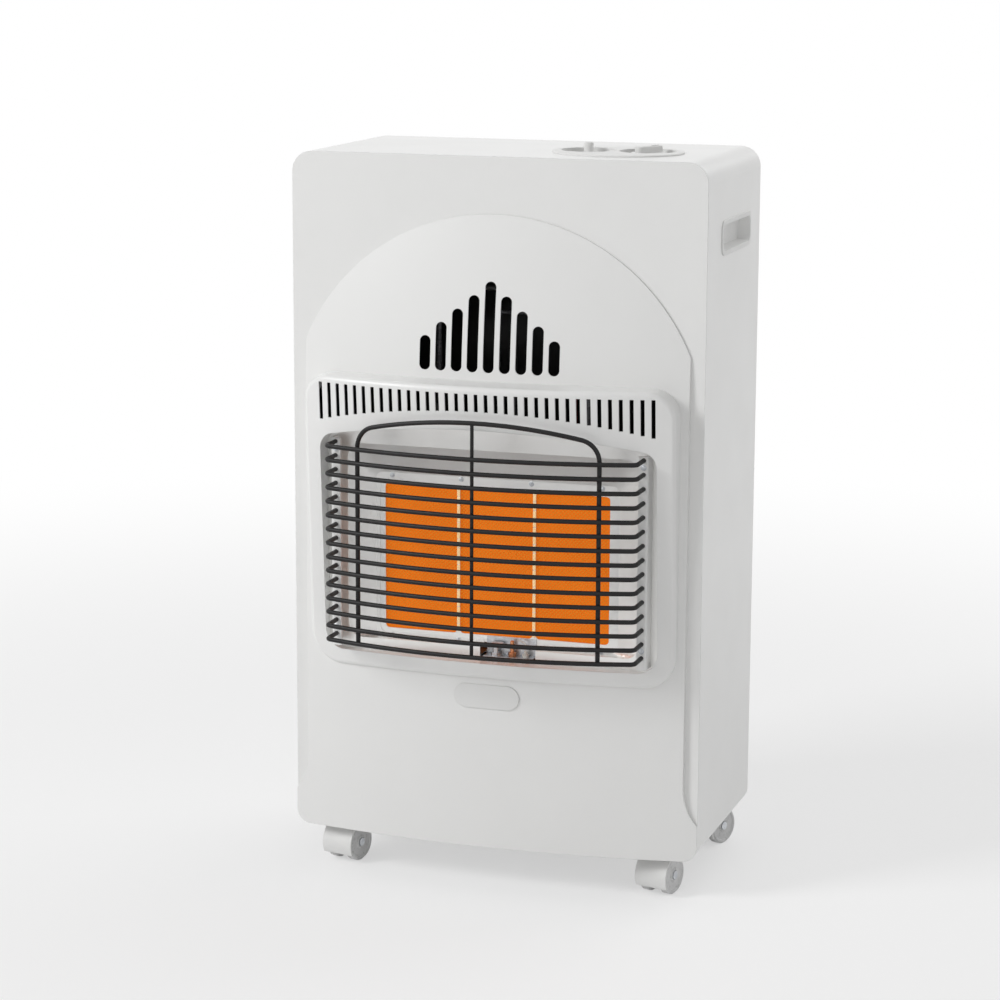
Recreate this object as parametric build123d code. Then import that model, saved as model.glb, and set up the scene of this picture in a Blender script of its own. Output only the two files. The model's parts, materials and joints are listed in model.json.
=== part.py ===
"""Portable gas cabinet heater: a sheet-steel cabinet on four castors, three ceramic plaques behind
a bowed wire guard, and a bay for the gas bottle behind a lift-off rear cover.

Millimetres. X runs to the right as seen from the front, Y to the back, Z up. The origin is on the
floor, under the middle of the overall box of 420 x 300 x 730.
"""
from build123d import *
import os
from math import acos, asin, cos, radians, sin, sqrt

# ---------------------------------------------------------------- driving dimensions
# cabinet
HALF_W = 209.0              # half the cabinet's width; the hand-hold rims add 1 on each side
TOP_Z = 722.0               # top of the cabinet
PANEL_LOW_Z = 42.0          # lower edge of the front panel
SIDE_LOW_Z = 47.5           # lower edge of the side walls
FRONT_Y = -74.0             # plane of the front panel's edges
BACK_Y = 138.0              # rear edge of the side walls
TOP_R = 20.0                # upper corners, seen from the front
LOW_R = 14.0                # lower corners
REAR_CORNER_R = 8.0         # lower rear corner of the side walls, seen from the side
SHELL_T = 1.0
PANEL_T = 1.2
PAN_T = 1.2
FLANGE_D = 9.0              # how far the front panel's edge flange reaches back
REAR_LIP = 14.0             # width of the return lip round the rear opening
LIP_LOW_Z = 90.0            # the lip's lower ends; also the height of the pan's upturned sides
PAN_LIP_Z = 58.0            # top of the pan's low rear lip
BEAD_X = 90.0               # two stiffening beads pressed into the pan
BEAD_R = 5.0
BEAD_SET_IN = (45.0, 25.0)  # distance of their ends from the pan's front and rear edges

# front panel's swell: a cylinder below ARCH_Z, a ball above it
BOW = 24.0                  # how far the middle stands out
BOW_R = 1020.0
ARCH_R = 212.0              # crease where the swell ends
ARCH_Z = 455.0
CREASE_X = 195.0            # upright part of that crease
FADE_Z = 116.0              # below this the crease runs out to the panel's edge
FADE_R = 60.0
FADE_PAST = 5.0             # and passes the panel's side by this much
BOW_REACH = 70.0            # cutters start this far in front of the panel's plane

# vents above the fire
VENT_COUNT = 9
VENT_PITCH = 16.3
VENT_W = 11.0
VENT_LOW_Z = 516.5
VENT_HIGH_Z = 603.7
VENT_STEP = 13.5            # each vent away from the middle is this much shorter

# fire surround
SURROUND_HALF = 187.5
SURROUND_Z = (215.0, 508.5)
SURROUND_LOW_R, SURROUND_TOP_R = 33.0, 27.0
SURROUND_T = 1.5
HOOD_LOW = (205.0, 4.0, 1040.0)     # height, stand-out from the swell at x = 0, radius of the bow
HOOD_HIGH = (520.0, 38.0, 550.0)    # the same further up: the face leans out and bows more
HOOD_REACH = 200.0          # half width of the sections through it
HOOD_EDGE_R = 5.0           # rounding of the face's outer edge
SEAT_W = 5.5                # flange by which it sits on the panel
CUTOUT_INSET = 7.0          # the panel's cut-out behind it is this much smaller all round
SLOT_COUNT = 35
SLOT_PITCH = 9.87
SLOT_W = 3.8
SLOT_HIGH_Z = 501.4
SLOT_LOW_Z = 484.3          # lower end of the middle slot
SLOT_DIP = 20.0             # the outermost slots reach this much lower
MOUTH_HALF = 170.5          # firebox opening
MOUTH_LOW_Z = 231.0
MOUTH_SIDE_Z = 448.0        # its top edge at the sides
MOUTH_MID_Z = 466.0         # and in the middle
MOUTH_LOW_R, MOUTH_TOP_R = 20.0, 16.0
MOUTH_BACK_Y = FRONT_Y - 8.0

# wire guard
GUARD_FRONT_Y = -150.0
WIRE_R = 2.25
MID_WIRE_R = 1.75
WIRE_COUNT = 15
WIRE_PITCH = 13.8
WIRE_LOW_Z = 248.0
GUARD_HALF = 156.5
GUARD_R = 520.0             # bow of the wires seen from above
GUARD_BEND_R = 6.0
HOOP_X = 105.0              # where its crowned arch ends and turns down
HOOP_SHOULDER_Z = 463.7
HOOP_R = 22.0
HOOP_TOP_Z = 475.5
HOOP_LOW_Z = 245.5
WELD = 0.3                  # depth to which crossing wires are welded into each other
RAIL_W, RAIL_T = 10.0, 2.0
RAIL_BEND_R = 2.5
RAIL_Z = (236.0, 445.0)
RAIL_FRONT_Y = -98.0        # the wires end here

# reflector round the plaques
TRAY_T = 0.8
TRAY_RIM_T = 1.0
TRAY_LAP = 3.2              # rim hidden behind the surround
TRAY_FRONT = (150.0, 242.0, 438.0, 15.0)    # half width, low, high, corner radius
TRAY_BACK = (126.0, 241.5, 409.0, 8.0)
TRAY_HOLE = (121.0, 246.0, 402.0, 6.0)

# burner
BURNER_Z = (250.5, 397.5)
WINDOW_HALF = 115.5
BAR_W = 3.0                 # bar between two plaques
WINDOW_R = 4.0
BURNER_Y = FRONT_Y + 6.0    # front of the burner frame
FRAME_HALF = 124.0
FRAME_LAP = (7.0, 8.0)      # frame below and above the windows
FRAME_T = 2.0
PLAQUE_T = 13.0
PLAQUE_LAP = 1.0            # plaque edge hidden behind the frame
GAS_BOX_D = 24.0
GAS_BOX_R = 7.0
GAS_BOX_T = 1.0
TUBE_R = 10.0               # mixing tubes
TUBE_T = 1.2
TUBE_LOW_Z = 198.0
TUBE_INTO_BOX = 6.0         # how far they reach above the windows' lower edge
FLARE, FLARE_H = 2.0, 14.0
SHIELD_HALF = 160.0
SHIELD_Z = (233.0, 447.0)
SHIELD_BACK_Y = FRONT_Y + 54.0
TUBE_HOLE_GAP = 2.5         # round each mixing tube in the shield's floor
ROOF_SLOT_COUNT = 5         # cooling slots in the shield's roof
ROOF_SLOT_PITCH = 60.0
ROOF_SLOT_L, ROOF_SLOT_W = 40.0, 10.0
ROOF_SLOT_SET_IN = 20.0     # from the roof's front edge
INJECTOR_RAIL_Z = (176.0, 186.0)
INJECTOR_RAIL_HALF = 102.0
INJECTOR_RAIL_W = 14.0
LEG_T = 2.0
INJECTOR_HEX_R, INJECTOR_HEX_H = 6.0, 6.0
JET_LOW_R, JET_TOP_R, JET_H = 3.5, 1.5, 8.0

# pilot, in front of the middle plaque's lower edge
PILOT_Y = BURNER_Y - 7.0
PILOT_SHELF_Z = 232.0
PILOT_PLATE = (-9.0, 42.0)
PILOT_SHELF_D = 13.0
PILOT_X, THERMOCOUPLE_X, SPARK_X = 2.0, 19.0, 33.0
PILOT_R, THERMOCOUPLE_R, SPARK_R = 3.0, 2.0, 1.8
PILOT_Z = (226.0, 243.0)
THERMOCOUPLE_Z = (222.0, 249.0)
SPARK_Z = (224.0, 239.0)
PILOT_SHEET_T = 1.2
PILOT_NOTCH_SIDE = 3.0      # room beside the pilot's bracket

# controls, on the top at the right
BEZEL_X, BEZEL_Y = 97.0, FRONT_Y + 86.0
BEZEL_RX, BEZEL_RY = 65.0, 56.0
BEZEL_RIM = 3.2             # width of the rim resting on the cabinet
BEZEL_RISE = 1.6
BEZEL_BEVEL = 0.8
BEZEL_FIT = 0.2             # round its body in the top's hole
WELL_Z = 712.0              # floor of the two wells
WELL_FLOOR_T = 2.0
KNOB_WELL_R, IGNITER_WELL_R = 28.0, 27.0
KNOB_WELL_SHIFT = (0.0, -2.0)       # middle of the well from the knob's axis
IGNITER_WELL_SHIFT = (4.0, -14.0)   # and from the igniter's
KNOB_X, KNOB_Y = 124.0, FRONT_Y + 98.0
KNOB_R = 18.0
KNOB_BEVEL = 1.2
KNOB_Z = (717.0, 722.0)     # the knob's disc
KNOB_BAR_TOP_Z = 728.5
KNOB_BAR_L, KNOB_BAR_W = 34.0, 10.0
KNOB_BAR_EDGE_R = 1.5
KNOB_TURN = 60.0            # resting angle of the finger bar
IGNITER_X, IGNITER_Y = 61.0, FRONT_Y + 106.0
TOTAL_Z = 730.0             # top of the igniter button
BUTTON_R = 4.8
BUTTON_EDGE_R = 1.6
BUTTON_FIT = 0.15
BUTTON_BORE_Z = 683.0       # bottom of the bore in which it moves
NECK_R = 6.9
NECK_FIT = 0.1
BARREL_R = 9.0
BARREL_Z = (650.0, 690.0)
IGNITER_COLLAR_R, IGNITER_COLLAR_H = 9.5, 3.0
CONTROL_NUT_R, CONTROL_NUT_H = 11.0, 5.0
SPINDLE_R = 4.0
SPINDLE_HOLE_R = 5.0
SPINDLE_FIT = 0.08
SPINDLE_FLAT = 2.5          # distance of the flat from the axis
FLAT_BELOW_KNOB = 4.0       # the flat begins this far below the knob
PLUNGER_Z = (676.0, 682.0)
PUSH = 4.0                  # how far the knob goes down
PLUNGER_ROOM = 0.5          # left under the plunger then
BRACKET_Z = 694.0
BRACKET_T = 2.0
BRACKET_X = (22.0, 172.0)
BRACKET_Y = (BEZEL_Y - 16.0, BEZEL_Y + 40.0)
BRACKET_FOOT = 10.0
VALVE_LOW_Z = 656.0
VALVE_HALF_X, VALVE_HALF_Y = 18.0, 15.0
VALVE_EDGE_R = 4.0
VALVE_NECK_H = 9.0
INLET_R, PORT_R = 7.5, 5.0  # bosses for the gas inlet and the thermocouple
BOSS_L = 7.0
OUTLET_R = 3.6
OUTLET_PITCH = 8.0
OUTLET_Y = KNOB_Y - 4.0
OUTLET_LOW_Z = 650.0
PORT_Z = 668.0              # height of the inlet and of the thermocouple's port
HOSE_TAIL_R, HOSE_TAIL_L = 4.1, 24.0

# pipes and leads behind the heat shield
PIPE_R, PILOT_PIPE_R, TIP_LEAD_R, SPARK_LEAD_R = 3.0, 2.0, 1.0, 1.5
PIPE_Y = SHIELD_BACK_Y + 6.0
PILOT_PIPE_Y = PIPE_Y + 6.0
TIP_LEAD_Y = PIPE_Y + 5.0
SPARK_LEAD_Y = PILOT_PIPE_Y + 4.5
PIPE_BEND_R = 8.0
THIN_BEND_R = 6.0
LEAN_Z = (634.0, 618.0)     # the pipes lean back from the tap between these heights
TURN_Z, TURN_STEP = 602.0, 12.0     # the burner pipes turn sideways one below the other
PILOT_TURN_Z = 564.0
PILOT_DOWN_X = -18.0
PILOT_UNDER_Z, SPARK_UNDER_Z, TIP_UNDER_Z = 212.0, 206.0, 200.0     # runs below the burner
TIP_LEAD_OUT = 14.0         # the thermocouple's lead leaves the port by this much
TIP_LEAN_Z = 600.0          # and has leant back by this height
SPARK_LEAN_Z = (630.0, 590.0)
SPARK_SLANT = 18.0          # where the spark lead turns towards the electrode

# hand-holds
GRIP_Y = FRONT_Y + 113.0
GRIP_Z = 645.5
GRIP_L, GRIP_H = 118.0, 34.0
GRIP_RIM = 2.5              # how far the rim laps the side wall
GRIP_RIM_T, GRIP_RIM_BEVEL = 1.0, 0.5
GRIP_RIM_R, GRIP_BODY_R, GRIP_MOUTH_R, GRIP_FLOOR_R = 10.0, 8.0, 6.5, 5.0
GRIP_FIT = 0.2
GRIP_DEPTH = 10.0
GRIP_BACK_T = 2.0
GRIP_MOUTH_INSET = 4.5      # the pocket's mouth from the rim's outline
GRIP_FLOOR_INSET = (9.5, 6.5)       # its floor, at the ends and above and below

# bare plate for a badge
BADGE_Z = 196.4
BADGE_L, BADGE_H, BADGE_T = 67.0, 24.0, 1.4

# castors
WHEEL_R = 19.0
WHEEL_W = 10.0
WHEEL_GAP = 0.5             # between the web and each wheel
WHEEL_FIT = 0.06
WEB_HALF, WEB_R = 6.0, 20.4
TRAIL = 8.0                 # axle behind the swivel axis
PIN_R = 3.5
PIN_FIT = 0.075
AXLE_R = 2.5
AXLE_FIT = 0.03
AXLE_HEAD_R, AXLE_HEAD_T = 4.2, 1.0
HOOD_R = 22.2
HOOD_T = 2.0
HOOD_LOW_Z = 9.0
HOOD_SIDE = 1.2             # hood beyond the wheels
HOOD_BACK = 21.0            # the hood is cut off upright here, behind the swivel axis
WEB_NECK_L, WEB_NECK_Z = 13.0, (21.0, 41.0)
PIN_HOLE_Z = 22.0           # lower end of the stem's hole in the fork
FORK_TOP_GAP = 0.3
STEM_Z = (23.0, 56.0)
COLLAR_R = 9.0
COLLAR_Z = 42.0
STEM_FIT = 0.25             # of the stem in the pan
NUT_R, NUT_H = 6.4, 5.0
CASTORS = {                 # name: x and y of the swivel axis, resting angle of the fork
    "front_left": (-165.0, FRONT_Y + 16.0, -14.0),
    "front_right": (165.0, FRONT_Y + 16.0, -14.0),
    "rear_left": (-172.0, BACK_Y - 21.0, 20.0),
    "rear_right": (172.0, BACK_Y - 21.0, -24.0),
}

# rear cover
COVER_HALF = 198.0
COVER_Z = (62.0, 708.0)
COVER_FRONT_Y = BACK_Y + 0.3
COVER_FACE_Y = 147.0
COVER_T = 1.0
COVER_R = 12.0
COVER_EDGE_R = 4.0
BRIM_HALF = 207.0
COVER_LIFT = 10.0
HOOK_Z = (170.0, 600.0)     # lower ends of the hooks
HOOK_X = 201.0
HOOK_T, HOOK_H = 2.4, 16.0
HOOK_TIP_H = 6.0            # part of a hook that hangs behind the lip, below its neck
HOOK_TIP_T = 1.2
HOOK_FIT = 0.3              # between a hook and the lip
HOOK_SIDE = 0.8             # room beside a hook in its slot
HOOK_TOP = 4.0              # and above it when it is lifted
LOUVRE_ROWS = 6
LOUVRE_PITCH = 20.0
LOUVRE_X, LOUVRE_HALF = 82.0, 56.0
LOUVRE_LOW_ZS = (130.0, 565.0)
LOUVRE_RISE, LOUVRE_H = 3.0, 7.0
LOUVRE_T = 0.8
LOUVRE_LIP = 0.5            # the slit reaches this far below its hood

CUT = 1.0                   # cutting solids pass the faces that they open by this much
FAR = 1000.0                # larger than the object


# ---------------------------------------------------------------- helpers
def block(x, y, z):
    """Box between two corners, given as (low, high) pairs."""
    size = [high - low for low, high in (x, y, z)]
    mid = [(high + low) / 2 for low, high in (x, y, z)]
    return Pos(*mid) * Box(*size)


def pushed_back(profile, y0, y1):
    """Front-view sketch (x, z) carried from y0 to y1."""
    return extrude(Plane.XZ.offset(-y1) * profile, amount=y1 - y0)


def raised(profile, z0, z1):
    """Plan-view sketch (x, y) carried from z0 to z1."""
    return extrude(Pos(0, 0, z0) * profile, amount=z1 - z0)


def across(profile, x0, x1):
    """Side-view sketch (y, z) carried from x0 to x1."""
    return extrude(Plane.YZ.offset(x0) * profile, amount=x1 - x0)


def slab(z0, z1):
    """Everything between two heights."""
    return block((-FAR, FAR), (-FAR, FAR), (z0, z1))


def upright(x, y, z0, z1, radius):
    """Round bar standing on z0."""
    return Pos(x, y, (z0 + z1) / 2) * Cylinder(radius, z1 - z0)


def hex_ring(x, y, z0, z1, across_corners_r, bore_r):
    """Hexagon nut standing on z0."""
    return raised(Pos(x, y) * (RegularPolygon(across_corners_r, 6) - Circle(bore_r)), z0, z1)


def round_rect(half, z0, z1, low_r, high_r):
    """Rectangle centred on x = 0 with its own corner radius below and above."""
    sketch = Pos(0, (z0 + z1) / 2) * Rectangle(2 * half, z1 - z0)
    sketch = fillet(sketch.vertices().group_by(Axis.Y)[0], low_r)
    return fillet(sketch.vertices().group_by(Axis.Y)[-1], high_r)


def tube(points, radius, bend_r):
    """Round bar along straight runs joined by tangent arcs."""
    path = FilletPolyline(*points, radius=bend_r)
    start = Plane(origin=path @ 0, z_dir=path % 0)
    return sweep(start * Circle(radius), path=path)


def swell(grow=0.0):
    """Solid whose front is the bowed face of the panel, moved outwards by grow."""
    r = BOW_R + grow
    side = [
        Line((0, 0), (r, 0)),
        Line((r, 0), (r, ARCH_Z)),
        CenterArc((0, ARCH_Z), r, 0, 90),
        Line((0, ARCH_Z + r), (0, 0)),
    ]
    return Pos(0, FRONT_Y - BOW + BOW_R, 0) * revolve(Plane.XZ * make_face(side), Axis.Z)


def from_front(profile, back_y=FRONT_Y):
    """Front-view sketch carried from well in front of the swell back to back_y."""
    return pushed_back(profile, FRONT_Y - BOW_REACH, back_y)


# ---------------------------------------------------------------- cabinet
def cabinet_outline(inset=0.0):
    """Front view of the cabinet, all four corners rounded."""
    low_r = max(LOW_R - inset, 1)
    return round_rect(HALF_W - inset, PANEL_LOW_Z + inset, TOP_Z - inset, low_r, TOP_R - inset)


def swell_outline(inset=0.0):
    """Front view of the swell: arch on top, upright creases, running out to the edge below."""
    half = CREASE_X - inset
    arch = ARCH_R - inset
    shoulder_z = ARCH_Z + sqrt(arch**2 - half**2)
    turn = acos(1 - (HALF_W + FADE_PAST - half) / FADE_R)

    def runout(side, angle):
        return (side * (half + FADE_R * (1 - cos(angle))), FADE_Z - FADE_R * sin(angle))

    low_right, low_left = runout(1, turn), runout(-1, turn)
    edges = [
        ThreePointArc((half, shoulder_z), (0, ARCH_Z + arch), (-half, shoulder_z)),
        Line((-half, shoulder_z), (-half, FADE_Z)),
        ThreePointArc((-half, FADE_Z), runout(-1, turn / 2), low_left),
        Polyline(low_left, (low_left[0], 0), (low_right[0], 0), low_right),
        ThreePointArc(low_right, runout(1, turn / 2), (half, FADE_Z)),
        Line((half, FADE_Z), (half, shoulder_z)),
    ]
    return make_face(edges)


def vent_cutters():
    """Nine upright vents with round ends, tallest in the middle."""
    cutters = []
    for index in range(VENT_COUNT):
        step = index - VENT_COUNT // 2
        high = VENT_HIGH_Z - VENT_STEP * abs(step)
        vent = Rot(0, 0, 90) * SlotOverall(high - VENT_LOW_Z, VENT_W)
        vent = Pos(step * VENT_PITCH, (high + VENT_LOW_Z) / 2) * vent
        cutters.append(from_front(vent))
    return cutters


def front_panel():
    """Pressed front: flat margin, swell inside the arch, edge flange, vents and fire cut-out."""
    flat_back = FRONT_Y + PANEL_T
    skin = pushed_back(cabinet_outline(), FRONT_Y, flat_back)
    skin += pushed_back(cabinet_outline(SHELL_T), flat_back, FRONT_Y + FLANGE_D)
    skin += swell() & from_front(swell_outline() & cabinet_outline(), flat_back)
    wall = SHELL_T + PANEL_T
    inside = pushed_back(cabinet_outline(wall), flat_back, FRONT_Y + FLANGE_D + CUT)
    dish = swell_outline(PANEL_T) & cabinet_outline(wall)
    inside += swell(-PANEL_T) & from_front(dish, flat_back + CUT)
    cutout = surround_outline(CUTOUT_INSET)
    return skin - inside - from_front(cutout, flat_back + CUT) - vent_cutters()


def cabinet_shell():
    """Sides and top bent from one sheet, with a return lip round the rear opening."""
    front, outer = FRONT_Y + PANEL_T, cabinet_outline()
    sheet = pushed_back(outer, front, BACK_Y) - pushed_back(cabinet_outline(SHELL_T), front, BACK_Y)
    lip = cabinet_outline(SHELL_T) - cabinet_outline(SHELL_T + REAR_LIP)
    lip = pushed_back(lip, BACK_Y - SHELL_T, BACK_Y) & slab(LIP_LOW_Z, TOP_Z)
    depth, height = BACK_Y - front, TOP_Z - SIDE_LOW_Z
    side_view = Pos(front + depth / 2, SIDE_LOW_Z + height / 2) * Rectangle(depth, height)
    low_rear = side_view.vertices().group_by(Axis.Y)[0].sort_by(Axis.X)[-1]
    side_view = fillet(low_rear, REAR_CORNER_R)
    shell = (sheet + lip) & across(side_view, -HALF_W, HALF_W)
    hand_hold = RectangleRounded(GRIP_L - 2 * GRIP_RIM, GRIP_H - 2 * GRIP_RIM, GRIP_BODY_R)
    shell -= across(Pos(GRIP_Y, GRIP_Z) * hand_hold, -HALF_W - CUT, HALF_W + CUT)
    hole_inset = BEZEL_RIM - BEZEL_FIT
    control_hole = Ellipse(BEZEL_RX - hole_inset, BEZEL_RY - hole_inset)
    shell -= raised(Pos(BEZEL_X, BEZEL_Y) * control_hole, TOP_Z - SHELL_T - CUT, TOP_Z + CUT)
    return shell - hook_slots()


def hook_slots():
    """Slots in the rear lip, long enough for the cover's hooks to rise out of their hold."""
    slots = []
    half = HOOK_T / 2 + HOOK_SIDE
    for side in (-1, 1):
        for z in HOOK_Z:
            x = (side * HOOK_X - half, side * HOOK_X + half)
            low, high = z + HOOK_TIP_H - HOOK_FIT, z + HOOK_H + COVER_LIFT + HOOK_TOP
            slots.append(block(x, (BACK_Y - SHELL_T - CUT, BACK_Y + CUT), (low, high)))
    return slots


def base_pan():
    """Floor of the cabinet: a channel inside the side walls with a rear lip and two beads."""
    front, back = FRONT_Y + FLANGE_D, BACK_Y - SHELL_T
    inner = cabinet_outline(SHELL_T + PAN_T)
    pan = pushed_back(cabinet_outline(SHELL_T), front, back) - pushed_back(inner, front, back)
    pan &= slab(0, LIP_LOW_Z)
    rear_lip = pushed_back(inner, back - PAN_T, back) & slab(0, PAN_LIP_Z)
    pan += rear_lip
    floor_z = PANEL_LOW_Z + SHELL_T + PAN_T
    for x in (-BEAD_X, BEAD_X):
        bead = Pos(x, floor_z) * (Circle(BEAD_R) & Pos(0, BEAD_R) * Rectangle(2 * BEAD_R, 2 * BEAD_R))
        pan += pushed_back(bead, front + BEAD_SET_IN[0], back - BEAD_SET_IN[1])
    for x, y, _ in CASTORS.values():
        pan -= upright(x, y, PANEL_LOW_Z, floor_z + CUT, PIN_R + STEM_FIT)
    return pan


def louvre(x, z):
    """Hooded air slit: the hood and the opening under it, as one piece to add and one to cut."""
    outer = Polyline(
        (COVER_FACE_Y, z + LOUVRE_H), (COVER_FACE_Y + LOUVRE_RISE, z), (COVER_FACE_Y, z), close=True
    )
    inside_y, low = COVER_FACE_Y - COVER_T - CUT, z - LOUVRE_LIP
    inner = Polyline(
        (inside_y, z + LOUVRE_H + LOUVRE_T), (COVER_FACE_Y + LOUVRE_RISE - LOUVRE_T, low),
        (inside_y, low), close=True
    )
    half = LOUVRE_HALF - LOUVRE_T
    hood = across(make_face(outer), x - LOUVRE_HALF, x + LOUVRE_HALF)
    return hood, across(make_face(inner), x - half, x + half)


def rear_cover():
    """Pressed tray over the rear opening, with louvres and four hooks that hang on the rear lip."""
    low, high = COVER_Z
    tray = pushed_back(round_rect(COVER_HALF, low, high, COVER_R, COVER_R),
                       COVER_FRONT_Y, COVER_FACE_Y)
    tray = fillet(tray.edges().group_by(Axis.Y)[-1], COVER_EDGE_R)
    inner = round_rect(COVER_HALF - COVER_T, low + COVER_T, high - COVER_T,
                       COVER_R - COVER_T, COVER_R - COVER_T)
    cavity = pushed_back(inner, COVER_FRONT_Y - CUT, COVER_FACE_Y - COVER_T)
    tray -= fillet(cavity.edges().group_by(Axis.Y)[-1], COVER_EDGE_R - COVER_T)
    hoods, slits = [], []
    for low_z in LOUVRE_LOW_ZS:
        for row in range(LOUVRE_ROWS):
            for x in (-LOUVRE_X, LOUVRE_X):
                hood, slit = louvre(x, low_z + row * LOUVRE_PITCH)
                hoods.append(hood)
                slits.append(slit)
    tray = tray + hoods - slits
    brim = round_rect(BRIM_HALF, low, high, COVER_R, COVER_R) - inner
    tray += pushed_back(brim, COVER_FRONT_Y, COVER_FRONT_Y + COVER_T)
    return tray + cover_hooks()


def cover_hooks():
    """Hooks on the cover's brim: necks that pass through the lip's slots, tips behind the lip."""
    hooks = []
    tip_back = BACK_Y - SHELL_T - HOOK_FIT
    tip_front = tip_back - HOOK_TIP_T
    for side in (-1, 1):
        for z in HOOK_Z:
            x = (side * HOOK_X - HOOK_T / 2, side * HOOK_X + HOOK_T / 2)
            neck = block(x, (tip_front, COVER_FRONT_Y + COVER_T), (z + HOOK_TIP_H, z + HOOK_H))
            hooks.append(neck + block(x, (tip_front, tip_back), (z, z + HOOK_H)))
    return hooks


def grip_outline(end_inset, side_inset, corner_r):
    """Rounded rectangle inside the hand-hold's rim."""
    return RectangleRounded(GRIP_L - 2 * end_inset, GRIP_H - 2 * side_inset, corner_r)


def handle_cup(side):
    """Finger cup let into a side wall: thin rim outside, tapered pocket inside."""
    face = Plane(origin=(HALF_W * side, GRIP_Y, GRIP_Z), x_dir=(0, 1, 0), z_dir=(side, 0, 0))
    rim = extrude(face * RectangleRounded(GRIP_L, GRIP_H, GRIP_RIM_R), amount=GRIP_RIM_T)
    rim = chamfer(rim.edges().group_by(Axis.X)[-1 if side > 0 else 0], GRIP_RIM_BEVEL)
    body_inset = GRIP_RIM + GRIP_FIT
    body = grip_outline(body_inset, body_inset, GRIP_BODY_R)
    body = extrude(face * body, amount=-GRIP_DEPTH - GRIP_BACK_T)
    mouth = grip_outline(GRIP_MOUTH_INSET, GRIP_MOUTH_INSET, GRIP_MOUTH_R)
    floor = grip_outline(*GRIP_FLOOR_INSET, GRIP_FLOOR_R)
    pocket = loft([face.offset(GRIP_RIM_T + GRIP_FIT) * mouth, face.offset(-GRIP_DEPTH) * floor])
    return rim + body - pocket


def badge_plate():
    """Bare pill-shaped plate on the swell below the fire."""
    pill = Pos(0, BADGE_Z) * SlotOverall(BADGE_L, BADGE_H)
    return (swell(BADGE_T) & from_front(pill)) - swell()


# ---------------------------------------------------------------- fire surround and guard
def mouth_outline(grow=0.0):
    """Front view of the firebox opening, its top edge arched."""
    half, low, side = MOUTH_HALF + grow, MOUTH_LOW_Z - grow, MOUTH_SIDE_Z + grow
    edges = [
        Polyline((-half, side), (-half, low), (half, low), (half, side)),
        ThreePointArc((half, side), (0, MOUTH_MID_Z + grow), (-half, side)),
    ]
    sketch = make_face(edges)
    sketch = fillet(sketch.vertices().group_by(Axis.Y)[0], MOUTH_LOW_R + grow)
    corners = sketch.vertices().filter_by(lambda v: abs(v.Y - side) < 0.01)
    return fillet(corners, MOUTH_TOP_R + grow)


def surround_outline(inset=0.0):
    """Front view of the surround's outer edge."""
    return round_rect(
        SURROUND_HALF - inset, SURROUND_Z[0] + inset, SURROUND_Z[1] - inset,
        SURROUND_LOW_R - inset, SURROUND_TOP_R - inset
    )


def slot_cutters():
    """Thirty-five narrow upright slots, longer towards the sides."""
    cutters = []
    reach = (SLOT_COUNT - 1) / 2 * SLOT_PITCH
    for index in range(SLOT_COUNT):
        x = index * SLOT_PITCH - reach
        low = SLOT_LOW_Z - SLOT_DIP * (x / reach) ** 2
        slot = Pos(x, (low + SLOT_HIGH_Z) / 2) * Rectangle(SLOT_W, SLOT_HIGH_Z - low)
        cutters.append(from_front(slot))
    return cutters


def hood(inset=0.0):
    """Solid whose front is the surround's face, ruled between a lower and an upper arc."""
    sections = []
    for z, out, bow_r in (HOOD_LOW, HOOD_HIGH):
        front_y = FRONT_Y - BOW - out + inset
        edge_y = front_y + bow_r - sqrt(bow_r**2 - HOOD_REACH**2)
        left, right = (-HOOD_REACH, edge_y), (HOOD_REACH, edge_y)
        arc = ThreePointArc(left, (0, front_y), right)
        back = Polyline(right, (HOOD_REACH, FRONT_Y), (-HOOD_REACH, FRONT_Y), left)
        sections.append(Pos(0, 0, z) * make_face([arc, back]))
    return loft(sections, ruled=True)


def hood_block(inset=0.0):
    """The surround as a solid block with a rounded front edge."""
    solid = hood(inset) & from_front(surround_outline(inset))
    face = solid.faces().sort_by(Axis.Y)[0]
    return fillet(face.edges(), HOOD_EDGE_R - inset)


def fire_surround():
    """Hood on the swell: flanged foot, band of slots, and the mouth with its edge turned back."""
    seat = surround_outline() - surround_outline(SEAT_W)
    hollow = hood_block(SURROUND_T) - (swell(SURROUND_T) & from_front(seat))
    frame = hood_block() - hollow - swell() - from_front(mouth_outline())
    returned = mouth_outline(SURROUND_T) - mouth_outline()
    frame += hood() & from_front(returned, MOUTH_BACK_Y)
    return frame - slot_cutters()


def guard_wire(z):
    """One bowed wire whose ends turn straight back to the guard rails."""
    front_y = GUARD_FRONT_Y + WIRE_R
    centre_y = front_y + GUARD_R
    rail_y = RAIL_FRONT_Y
    bend_x = GUARD_HALF - GUARD_BEND_R
    bend_r = GUARD_R - GUARD_BEND_R
    bend_y = centre_y - sqrt(bend_r**2 - bend_x**2)
    join = (bend_x * GUARD_R / bend_r, centre_y + (bend_y - centre_y) * GUARD_R / bend_r)
    knee_angle = (acos((centre_y - bend_y) / bend_r) + radians(90)) / 2
    knee = (bend_x + GUARD_BEND_R * sin(knee_angle), bend_y - GUARD_BEND_R * cos(knee_angle))
    path = Wire([
        Line((-GUARD_HALF, rail_y, z), (-GUARD_HALF, bend_y, z)),
        ThreePointArc((-GUARD_HALF, bend_y, z), (-knee[0], knee[1], z), (-join[0], join[1], z)),
        ThreePointArc((-join[0], join[1], z), (0, front_y, z), (join[0], join[1], z)),
        ThreePointArc((join[0], join[1], z), (knee[0], knee[1], z), (GUARD_HALF, bend_y, z)),
        Line((GUARD_HALF, bend_y, z), (GUARD_HALF, rail_y, z)),
    ])
    start = Plane(origin=(-GUARD_HALF, rail_y, z), z_dir=(0, -1, 0))
    return sweep(start * Circle(WIRE_R), path=path)


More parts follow.
